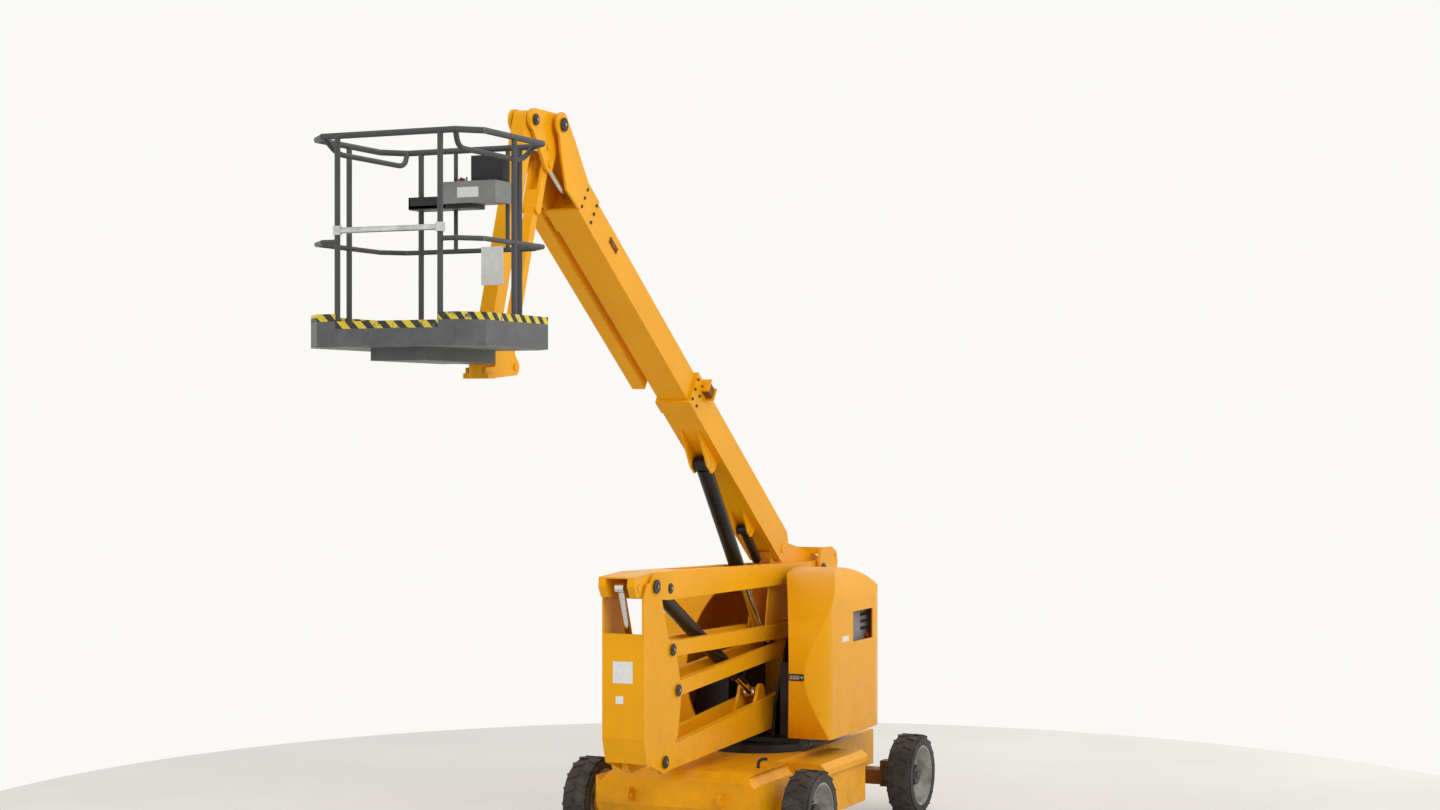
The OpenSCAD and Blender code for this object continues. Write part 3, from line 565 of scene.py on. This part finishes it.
def bolt_tree():
    """Puts a bolt's head on every point, along the point's axis attribute."""
    tree = bpy.data.node_groups.new("bolt_heads", "GeometryNodeTree")
    face = tree.interface
    face.new_socket("Geometry", in_out="INPUT", socket_type="NodeSocketGeometry")
    radius = face.new_socket("Head Radius", in_out="INPUT", socket_type="NodeSocketFloat")
    height = face.new_socket("Head Height", in_out="INPUT", socket_type="NodeSocketFloat")
    metal = face.new_socket("Metal", in_out="INPUT", socket_type="NodeSocketMaterial")
    face.new_socket("Geometry", in_out="OUTPUT", socket_type="NodeSocketGeometry")
    new = tree.nodes.new
    source, result = new("NodeGroupInput"), new("NodeGroupOutput")
    head = new("GeometryNodeMeshCylinder")
    head.inputs["Vertices"].default_value = HEAD_SIDES
    axis = new("GeometryNodeInputNamedAttribute")
    axis.data_type = "FLOAT_VECTOR"
    axis.inputs["Name"].default_value = "axis"
    turn = new("FunctionNodeAlignRotationToVector")
    turn.axis = "Z"
    spread = new("GeometryNodeInstanceOnPoints")
    real = new("GeometryNodeRealizeInstances")
    paint = new("GeometryNodeSetMaterial")
    link = tree.links.new
    link(source.outputs["Head Radius"], head.inputs["Radius"])
    link(source.outputs["Head Height"], head.inputs["Depth"])
    link(axis.outputs["Attribute"], turn.inputs["Vector"])
    link(source.outputs["Geometry"], spread.inputs["Points"])
    link(head.outputs["Mesh"], spread.inputs["Instance"])
    link(turn.outputs["Rotation"], spread.inputs["Rotation"])
    link(spread.outputs["Instances"], real.inputs["Geometry"])
    link(real.outputs["Geometry"], paint.inputs["Geometry"])
    link(source.outputs["Metal"], paint.inputs["Material"])
    link(paint.outputs["Geometry"], result.inputs["Geometry"])
    return tree, {"radius": radius.identifier, "height": height.identifier, "metal": metal.identifier}


# the tree and its sockets, once made
BOLTS = []
# a head's middle above its seat, as a share of its height
BOLT_SEAT = 0.4


def add_bolts(name, spots, body, radius=None, material="zinc"):
    """Bolt heads at (point, axis) spots as one plain mesh that rides on a body."""
    if not BOLTS:
        BOLTS.append(bolt_tree())
    tree, sockets = BOLTS[0]
    radius = radius or fittings().bolt_radius
    height = fittings().bolt_height
    mesh = bpy.data.meshes.new(name + "_points")
    mesh.from_pydata([Vector(p) + Vector(a).normalized() * height * BOLT_SEAT for p, a in spots], [], [])
    layer = mesh.attributes.new("axis", "FLOAT_VECTOR", "POINT")
    for i, (_, a) in enumerate(spots):
        layer.data[i].vector = Vector(a).normalized()
    holder = bpy.data.objects.new(name + "_points", mesh)
    bpy.context.collection.objects.link(holder)
    modifier = holder.modifiers.new("bolts", "NODES")
    modifier.node_group = tree
    modifier[sockets["radius"]] = radius
    modifier[sockets["height"]] = height
    modifier[sockets["metal"]] = MATERIALS[material]
    graph = bpy.context.evaluated_depsgraph_get()
    made = bpy.data.meshes.new_from_object(holder.evaluated_get(graph))
    holder.modifiers.remove(modifier)
    bpy.data.objects.remove(holder)
    return add_piece(name, made, body, material)


# Operators

class LIFT_OT_dress_solids(bpy.types.Operator):
    """Paint every solid of the machine with its own finish"""

    bl_idname = "lift.dress_solids"
    bl_label = "Dress the Solids"

    def execute(self, context):
        MATERIALS.update(make_materials())
        for name, solid in frame["nodes"].items():
            solid.data.materials.clear()
            solid.data.materials.append(MATERIALS[finish_of(name)])
        return {"FINISHED"}


class LIFT_OT_fit_wheels(bpy.types.Operator):
    """Add the hubs and wheel bolts"""

    bl_idname = "lift.fit_wheels"
    bl_label = "Fit the Wheels"

    # distances from the wheel's middle to the faces of its dish, then the bolts' ring and size
    hub_face = 0.04
    bolt_face = 0.0015
    bolt_ring = 0.095
    bolt_radius = 0.013

    def execute(self, context):
        f = fittings()
        for wheel in WHEELS:
            body = "wheel_" + wheel
            centre = Vector(JOINTS[body + "_spin"]["pos_m"])
            out = Vector((0, 1 if centre.y > 0 else -1, 0))
            bm = bmesh.new()
            add_lathe(bm, centre + out * self.hub_face, out, self.hub_profile(f.hub_radius))
            close_piece(bm, "hub_" + wheel, body, "dull_black")
            spots = []
            for i in range(f.wheel_bolts):
                a = 2 * math.pi * i / f.wheel_bolts
                around = Vector((math.cos(a), 0, math.sin(a))) * self.bolt_ring
                spots.append((centre + around + out * self.bolt_face, out))
            add_bolts("wheel_bolts_" + wheel, spots, body, self.bolt_radius, "dull_black")
        return {"FINISHED"}

    @staticmethod
    def hub_profile(radius):
        """A sleeve out of the dish, with a low step on its end."""
        return ((0, -0.036), (radius, -0.036), (radius, 0.006), (radius - 0.006, 0.012),
                (radius * 0.45, 0.014), (radius * 0.4, 0.02), (0, 0.021))


class LIFT_OT_cap_pins(bpy.types.Operator):
    """Add dark caps and keeper bolts on the ends of the arm, boom and jib pins"""

    bl_idname = "lift.cap_pins"
    bl_label = "Cap the Pins"

    # joint, the node that carries its pin, and the cap's radius
    pins = (
        ("upper_arm_lift", "post", 0.046), ("upper_link_swing", "post", 0.04), ("post_level", "post", 0.042),
        ("head_level", "head", 0.046), ("arm_lift", "turret", 0.046),
        ("arm_barrel_swing", "upper_arm", 0.034), ("root_level", "inner_boom", 0.042),
        ("jib_lift", "jib_root", 0.034), ("bracket_level", "basket_bracket", 0.034),
    )
    # the post's pin for the lower link, which has no joint of its own there: X and Z
    link_pin = (1.672, 1.165)
    link_pin_radius = 0.04
    # how far a cap sits in the face under it, and its facets
    sink = 0.004
    cap_steps = 32

    def execute(self, context):
        height = fittings().cap_height
        places = [(node, *JOINTS[joint]["pos_m"][::2], radius) for joint, node, radius in self.pins]
        places.append(("post", *self.link_pin, self.link_pin_radius))
        by_node = {}
        for node, x, z, radius in places:
            low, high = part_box(node)
            for face, side in ((high[1], 1), (low[1], -1)):
                by_node.setdefault(node, []).append((Vector((x, face, z)), Vector((0, side, 0)), radius))
        for node, caps in by_node.items():
            bm = bmesh.new()
            for centre, out, radius in caps:
                add_lathe(bm, centre - out * self.sink, out, cap_profile(radius, height), self.cap_steps)
            close_piece(bm, "pin_caps_" + node, node, "dull_black")
            spots = [(centre + out * (height - self.sink), out) for centre, out, _ in caps]
            add_bolts("pin_bolts_" + node, spots, node)
        return {"FINISHED"}


class LIFT_OT_fit_plates(bpy.types.Operator):
    """Add the blank plates on the post, hood and basket"""

    bl_idname = "lift.fit_plates"
    bl_label = "Fit the Plates"

    # how far the hood's plate is let in, and the board's faces from the rear of the rails
    hood_sink = 0.0006
    board_back = 0.034
    board_front = 0.037
    # a plate's rounding as a share of its thickness
    rounding = 0.3

    def execute(self, context):
        t = fittings().plate_thickness
        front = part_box("post")[1][0]
        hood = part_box("hood_left")[1][1] - self.hood_sink
        rail_low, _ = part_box("basket_rails")
        back, face = rail_low[0] + self.board_back, rail_low[0] + self.board_front
        # name, body, opposite corners and slot
        plates = (
            ("post_plate", "post", (front, -0.07, 1.251), (front + t, 0.071, 1.39), "yellow"),
            ("post_small_plate", "post", (front, -0.05, 1.12), (front + t, 0.005, 1.17), "yellow"),
            ("hood_plate", "hood_left", (-0.15, hood, 1.352), (-0.02, hood + t, 1.392), "yellow"),
            ("rail_board", "basket", (back, 0.083, 3.66), (face, 0.223, 3.875), "basket_grey"),
        )
        for name, body, low, high, slot in plates:
            bm = bmesh.new()
            add_box(bm, low, high, t * self.rounding)
            close_piece(bm, name, body, "plate")
        return {"FINISHED"}


class LIFT_OT_fit_hood(bpy.types.Operator):
    """Add the hoods' latches and the ground control switches"""

    bl_idname = "lift.fit_hood"
    bl_label = "Fit the Hood"

    # the latch's height, its plates as (inner end, outer end, half height, depth), how far they
    # are let in, their rounding, and the lever's pin: its place and (radius, height)
    latch_z = 1.135
    latch_base = (0.395, 0.506, 0.024, 0.006)
    latch_lever = (0.404, 0.476, 0.015, 0.012)
    latch_sink = 0.003
    latch_rounding = 0.003
    lever_pin_y = 0.49
    lever_pin = (0.011, 0.01)
    lever_pin_steps = 20

    # knobs: (radius, height), spacing, and their place from the box's middle and top
    knob = (0.012, 0.016)
    knob_steps = 18
    knob_pitch = 0.05
    knob_rows = 3
    knob_shift = -0.05
    knob_drop = 0.06
    # the stop button's place from the knobs' middle and the box's top, and its profile
    stop_shift = -0.03
    stop_drop = 0.22
    stop_steps = 28
    stop_profile = ((0, 0), (0.012, 0), (0.012, 0.014), (0.021, 0.016), (0.021, 0.026), (0.014, 0.031),
                    (0, 0.032))

    def execute(self, context):
        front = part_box("hood_left")[1][0]
        for name, body, side in (("latch_left", "hood_left", 1), ("latch_right", "hood_right", -1)):
            bm = bmesh.new()
            self.add_plate(bm, front, side, *self.latch_base)
            close_piece(bm, name, body, "black_plastic")
            bm = bmesh.new()
            self.add_plate(bm, front, side, *self.latch_lever)
            add_lathe(bm, (front, side * self.lever_pin_y, self.latch_z), (1, 0, 0),
                      cap_profile(*self.lever_pin), self.lever_pin_steps)
            close_piece(bm, name + "_lever", body, "zinc")
        self.add_switches()
        return {"FINISHED"}

    def add_plate(self, bm, front, side, inner, outer, half, depth):
        """A small plate on the hood's front face, between two distances from the middle."""
        near, far = sorted((side * inner, side * outer))
        add_box(bm, (front - self.latch_sink, near, self.latch_z - half),
                (front + depth, far, self.latch_z + half), self.latch_rounding)

    def add_switches(self):
        """Knobs and a stop button on the ground control box."""
        low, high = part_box("ground_controls")
        face, out = high[1], Vector((0, 1, 0))
        middle = (low[0] + high[0]) / 2 + self.knob_shift
        bm = bmesh.new()
        for row in range(self.knob_rows):
            for column in (-self.knob_pitch, 0, self.knob_pitch):
                place = (middle + column, face, high[2] - self.knob_drop - row * self.knob_pitch)
                add_lathe(bm, place, out, cap_profile(*self.knob), self.knob_steps)
        close_piece(bm, "ground_knobs", "turret", "black_plastic")
        bm = bmesh.new()
        place = (middle + self.stop_shift, face, high[2] - self.stop_drop)
        add_lathe(bm, place, out, self.stop_profile, self.stop_steps)
        close_piece(bm, "ground_stop", "turret", "red_plastic")


class LIFT_OT_fit_basket(bpy.types.Operator):
    """Add the basket's hand guards and the controls on its panel"""

    bl_idname = "lift.fit_basket"
    bl_label = "Fit the Basket"

    # hand guards: the tube, its bends, the upper rail's half height, and the guard's ends and
    # low run from the rails' sides
    guard_radius = 0.015
    guard_bend = 0.07
    rail_half = 0.017
    guard_inset = 0.13
    guard_lean = 0.03
    guard_drop = 0.085
    guard_end = 0.02
    guard_knee = 0.1

    # the control box's right side, the first lever from it, the levers' row and a lever's profile
    box_y = -0.06
    first_lever = 0.05
    lever_count = 7
    lever_pitch = 0.036
    lever_inset = 0.05
    lever_steps = 16
    lever_profile = ((0, 0), (0.009, 0), (0.009, 0.004), (0.004, 0.006), (0.005, 0.026), (0, 0.028))
    # the stop button and the blank plate on the box's front: across from its side, then below its top
    stop_inset = 0.12
    stop_steps = 28
    stop_profile = ((0, 0), (0.012, 0), (0.012, 0.012), (0.021, 0.014), (0.021, 0.024), (0.014, 0.03),
                    (0, 0.031))
    plate_across = (0.09, 0.225)
    plate_below = (0.09, 0.033)
    plate_skin = 0.0015
    plate_rounding = 0.0005
    # the black tray: walls, rim, depth, floor, rounding, its end and its gap to the box
    tray_skin = 0.004
    tray_wall = 0.01
    tray_side = 0.008
    tray_rim = 0.066
    tray_reach = 0.144
    tray_floor = 0.0195
    tray_rounding = 0.002
    tray_end = 0.104
    tray_gap = 0.002

    def execute(self, context):
        low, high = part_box("basket_rails")
        top = high[2] - self.rail_half
        for name, s, end in (("guard_left", 1, high[1]), ("guard_right", -1, low[1])):
            y = end - s * self.guard_inset
            inner, below = y - s * self.guard_lean, top - self.guard_drop
            bm = bmesh.new()
            add_tube(bm, ((high[0] - self.guard_end, y, top), (high[0] - self.guard_knee, inner, below),
                          (low[0] + self.guard_knee, inner, below), (low[0] + self.guard_end, y, top)),
                     self.guard_radius, self.guard_bend)
            smooth(close_piece(bm, name, "basket", "steel"))
        low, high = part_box("control_box")
        self.add_controls(high)
        self.add_tray(low)
        return {"FINISHED"}

    def add_controls(self, high):
        """Short levers, a stop button and a blank plate on the control box."""
        up = (0, 0, 1)
        start = self.box_y + self.first_lever
        bm = bmesh.new()
        for i in range(self.lever_count):
            place = (high[0] - self.lever_inset, start + i * self.lever_pitch, high[2])
            add_lathe(bm, place, up, self.lever_profile, self.lever_steps)
        close_piece(bm, "panel_levers", "basket", "black_plastic")
        bm = bmesh.new()
        add_lathe(bm, (high[0] - self.stop_inset, start, high[2]), up, self.stop_profile, self.stop_steps)
        close_piece(bm, "panel_stop", "basket", "red_plastic")
        bm = bmesh.new()
        near, far = (self.box_y + across for across in self.plate_across)
        bottom, top = (high[2] - below for below in self.plate_below)
        add_box(bm, (high[0], near, bottom), (high[0] + self.plate_skin, far, top), self.plate_rounding)
        close_piece(bm, "panel_plate", "basket", "plate")

    def add_tray(self, low):
        """The black tray: a shelf with a rim, under and beside the control box."""
        back, front = low[0], low[0] + self.tray_reach
        side, end = low[1] - self.tray_skin, self.box_y - self.tray_gap
        bm = bmesh.new()
        add_box(bm, (back, side, low[2] - self.tray_skin), (front, self.tray_end, low[2] + self.tray_floor),
                self.tray_rounding)
        for x0, x1, y1 in ((back, back + self.tray_wall, end), (front - self.tray_wall, front, end),
                           (back, front, low[1] + self.tray_side)):
            add_box(bm, (x0, side, low[2]), (x1, y1, low[2] + self.tray_rim), self.tray_rounding)
        close_piece(bm, "panel_tray", "basket", "black_plastic")


class LIFT_OT_fit_boom(bpy.types.Operator):
    """Add the collars' bolts, the rest pad and the side strap of the boom"""

    bl_idname = "lift.fit_boom"
    bl_label = "Fit the Boom"

    # the boom's two collars in its own frame, and their bolts from the collars' ends and edges
    base_collar = {"mouth": 1.919, "length": 0.12, "half": 0.126, "under": -0.098, "top": 0.149}
    inner_collar = {"mouth": 3.855, "length": 0.19, "half": 0.113, "under": -0.085, "top": 0.136}
    end_margin = 0.02
    edge_margin = 0.045
    top_share = 0.6

    # the rest pad's start behind the mouth; its back plate, cheek and pad as boxes in the boom's
    # frame, along from that start, across and up; and the cheeks' places
    pad_back = 0.2
    back_plate = ((-0.012, 0.117, 0.05), (0.102, 0.124, 0.165))
    cheek = ((0, 0.122, 0.07), (0.012, 0.182, 0.165))
    cheeks_at = (-0.012, 0.09)
    pad = ((0.002, 0.123, 0.08), (0.088, 0.17, 0.155))
    plate_rounding = 0.002
    pad_rounding = 0.004

    # the strap: its gap to the mouth when the boom is drawn in, its box, and its two bolts
    strap_gap = 0.05
    strap = ((0, 0.104, 0.03), (0.12, 0.112, 0.07))
    strap_rounding = 0.003
    strap_bolts_at = (0.02, 0.1)
    strap_bolt_place = (0.111, 0.05)
    strap_bolt = (0.009, 0.007)
    strap_bolt_steps = 16

    def execute(self, context):
        for name, body, collar in (("base_collar_bolts", "base_boom", self.base_collar),
                                   ("inner_collar_bolts", "inner_boom", self.inner_collar)):
            add_bolts(name, self.bolt_spots(**collar), body, material="dull_black")
        self.add_rest()
        self.add_strap()
        return {"FINISHED"}

    def bolt_spots(self, mouth, length, half, under, top):
        """Bolts on the top and both sides of a collar, near each of its ends."""
        upward = boom_point(0, 0, 1) - boom_point(0, 0, 0)
        found = []
        for x in (mouth - self.end_margin, mouth - length + self.end_margin):
            for y in (-self.top_share * half, self.top_share * half):
                found.append((boom_point(x, y, top), upward))
            for z in (under + self.edge_margin, (under + top) / 2, top - self.edge_margin):
                for s in (-1, 1):
                    found.append((boom_point(x, s * half, z), Vector((0, s, 0))))
        return found

    @staticmethod
    def add_box_at(bm, start, corners, rounding):
        """A box whose corners are given along from a start on the boom."""
        low, high = ((start + x, y, z) for x, y, z in corners)
        add_box(bm, low, high, rounding)

    def add_rest(self):
        """A rusty pad between two cheeks on the base boom's left side."""
        start = self.base_collar["mouth"] - self.pad_back
        bm = bmesh.new()
        self.add_box_at(bm, start, self.back_plate, self.plate_rounding)
        for along in self.cheeks_at:
            self.add_box_at(bm, start + along, self.cheek, self.plate_rounding)
        boom_turned(bm)
        close_piece(bm, "rest_bracket", "base_boom", "paint")
        bm = bmesh.new()
        self.add_box_at(bm, start, self.pad, self.pad_rounding)
        boom_turned(bm)
        close_piece(bm, "rest_pad", "base_boom", "axle")

    def add_strap(self):
        """A bolted strap that stays outside the base boom's mouth when the boom is drawn in."""
        start = self.base_collar["mouth"] - JOINTS["telescope"]["range_m"][0] + self.strap_gap
        bm = bmesh.new()
        self.add_box_at(bm, start, self.strap, self.strap_rounding)
        for along in self.strap_bolts_at:
            place = (start + along, *self.strap_bolt_place)
            add_lathe(bm, place, (0, 1, 0), cap_profile(*self.strap_bolt), self.strap_bolt_steps)
        boom_turned(bm)
        close_piece(bm, "boom_side_strap", "inner_boom", "axle")


class LIFT_OT_fit_chassis(bpy.types.Operator):
    """Add the hooks on the chassis nose"""

    bl_idname = "lift.fit_chassis"
    bl_label = "Fit the Chassis"

    # a hook's place on the nose, its bends as (forward, outward, up) from its foot, and its tube
    foot = (1.014, 0.437)
    bends = ((0, 0, -0.004), (0, 0, 0.042), (-0.014, 0.023, 0.062), (-0.03, 0.053, 0.058))
    hook_radius = 0.011
    hook_bend = 0.02

    def execute(self, context):
        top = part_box("chassis")[1][2]
        bm = bmesh.new()
        for s in (-1, 1):
            points = [(self.foot[0] + x, s * (self.foot[1] + y), top + z) for x, y, z in self.bends]
            add_tube(bm, points, self.hook_radius, self.hook_bend)
        smooth(close_piece(bm, "nose_hooks", "chassis", "dull_black"))
        return {"FINISHED"}


class LIFT_OT_set_stage(bpy.types.Operator):
    """Add the floor, the lights and the photograph's camera"""

    bl_idname = "lift.set_stage"
    bl_label = "Set the Stage"

    room_radius = 6.2
    floor_steps = 128
    floor_dark = (0.72, 0.7, 0.65, 1)
    floor_pale = (0.78, 0.76, 0.71, 1)
    floor_roughness = 0.35

    # name, place, size and watts of each area light, and what they aim at
    lamps = (("key_light", (7, 9, 9), 7, 620), ("fill_light", (9, -9, 6), 8, 380),
             ("back_light", (-9, 5, 7), 7, 420))
    aim = (0.8, 0, 2)
    sky_colour = (1.0, 0.985, 0.95, 1)
    sky_strength = 0.62
    wall_colour = (0.96, 0.95, 0.92, 1)

    # the photograph's viewpoint, found from its wheels
    lens_mm = 59.47
    sensor_mm = 36
    lens_rise = 0.01513
    camera_place = (15.666, 6.671, 2.874)
    camera_heading = 113.97
    view_end = 200

    def execute(self, context):
        self.lay_floor(context)
        self.light_world(context.scene)
        for name, place, size, watts in self.lamps:
            lamp = bpy.data.lights.new(name, "AREA")
            lamp.size = size
            lamp.energy = watts
            holder = bpy.data.objects.new(name, lamp)
            holder.location = place
            sight = Vector(self.aim) - Vector(place)
            holder.rotation_euler = sight.to_track_quat("-Z", "Y").to_euler()
            holder.visible_glossy = False
            context.collection.objects.link(holder)
        self.place_camera(context)
        context.scene.view_settings.view_transform = "Standard"
        return {"FINISHED"}

    def lay_floor(self, context):
        """A round, pale, slightly shiny floor."""
        bm = bmesh.new()
        bmesh.ops.create_circle(bm, cap_ends=True, radius=self.room_radius, segments=self.floor_steps)
        mesh = mesh_of(bm, "floor")
        floor = bpy.data.objects.new("floor", mesh)
        context.collection.objects.link(floor)
        material, tree, shader, coords = start_material("floor_paint")
        cloud = remap(tree, noise(tree, coords, 0.5, 4), 0.35, 0.7)
        tree.links.new(blend(tree, cloud, self.floor_dark, self.floor_pale), shader.inputs["Base Color"])
        shader.inputs["Roughness"].default_value = self.floor_roughness
        mesh.materials.append(material)

    def light_world(self, scene):
        """Soft light from all round; the camera and reflections see a pale wall."""
        world = bpy.data.worlds.new("studio")
        scene.world = world
        world.use_nodes = True
        tree = world.node_tree
        sky = tree.nodes["Background"]
        sky.inputs["Color"].default_value = self.sky_colour
        sky.inputs["Strength"].default_value = self.sky_strength
        wall = tree.nodes.new("ShaderNodeBackground")
        wall.inputs["Color"].default_value = self.wall_colour
        path = tree.nodes.new("ShaderNodeLightPath")
        mix = tree.nodes.new("ShaderNodeMixShader")
        seen = maths(tree, "MAXIMUM", path.outputs["Is Camera Ray"], path.outputs["Is Glossy Ray"])
        seen = maths(tree, "MAXIMUM", seen, path.outputs["Is Transmission Ray"])
        tree.links.new(seen, mix.inputs["Fac"])
        tree.links.new(sky.outputs["Background"], mix.inputs[1])
        tree.links.new(wall.outputs["Background"], mix.inputs[2])
        tree.links.new(mix.outputs["Shader"], tree.nodes["World Output"].inputs["Surface"])

    def place_camera(self, context):
        """A level camera at the photograph's viewpoint."""
        camera = bpy.data.cameras.new("photo_camera")
        camera.sensor_fit = "HORIZONTAL"
        camera.sensor_width = self.sensor_mm
        camera.lens = self.lens_mm
        camera.shift_y = self.lens_rise
        camera.clip_end = self.view_end
        holder = bpy.data.objects.new("photo_camera", camera)
        holder.location = self.camera_place
        holder.rotation_euler = (math.radians(90), 0, math.radians(self.camera_heading))
        context.collection.objects.link(holder)
        context.scene.camera = holder


class LIFT_PT_sidebar(bpy.types.Panel):
    """The machine's operators and sizes"""

    bl_idname = "LIFT_PT_sidebar"
    bl_label = "Boom Lift"
    bl_space_type = "VIEW_3D"
    bl_region_type = "UI"
    bl_category = "Boom Lift"

    def draw(self, context):
        column = self.layout.column()
        for operator in OPERATORS:
            column.operator(operator.bl_idname)
        for group in (context.scene.lift_finish, context.scene.lift_fittings):
            box = self.layout.box()
            for key in group.__annotations__:
                box.prop(group, key)


OPERATORS = (LIFT_OT_dress_solids, LIFT_OT_fit_wheels, LIFT_OT_cap_pins, LIFT_OT_fit_plates,
             LIFT_OT_fit_hood, LIFT_OT_fit_basket, LIFT_OT_fit_boom, LIFT_OT_fit_chassis,
             LIFT_OT_set_stage)
CLASSES = (LiftFinish, LiftFittings) + OPERATORS + (LIFT_PT_sidebar,)


def register():
    for cls in CLASSES:
        bpy.utils.register_class(cls)
    bpy.types.Scene.lift_finish = PointerProperty(type=LiftFinish)
    bpy.types.Scene.lift_fittings = PointerProperty(type=LiftFittings)


def unregister():
    del bpy.types.Scene.lift_fittings
    del bpy.types.Scene.lift_finish
    for cls in reversed(CLASSES):
        bpy.utils.unregister_class(cls)


def main():
    register()
    bpy.ops.lift.dress_solids()
    bpy.ops.lift.fit_wheels()
    bpy.ops.lift.cap_pins()
    bpy.ops.lift.fit_plates()
    bpy.ops.lift.fit_hood()
    bpy.ops.lift.fit_basket()
    bpy.ops.lift.fit_boom()
    bpy.ops.lift.fit_chassis()
    bpy.ops.lift.set_stage()


if __name__ == "__main__":
    main()
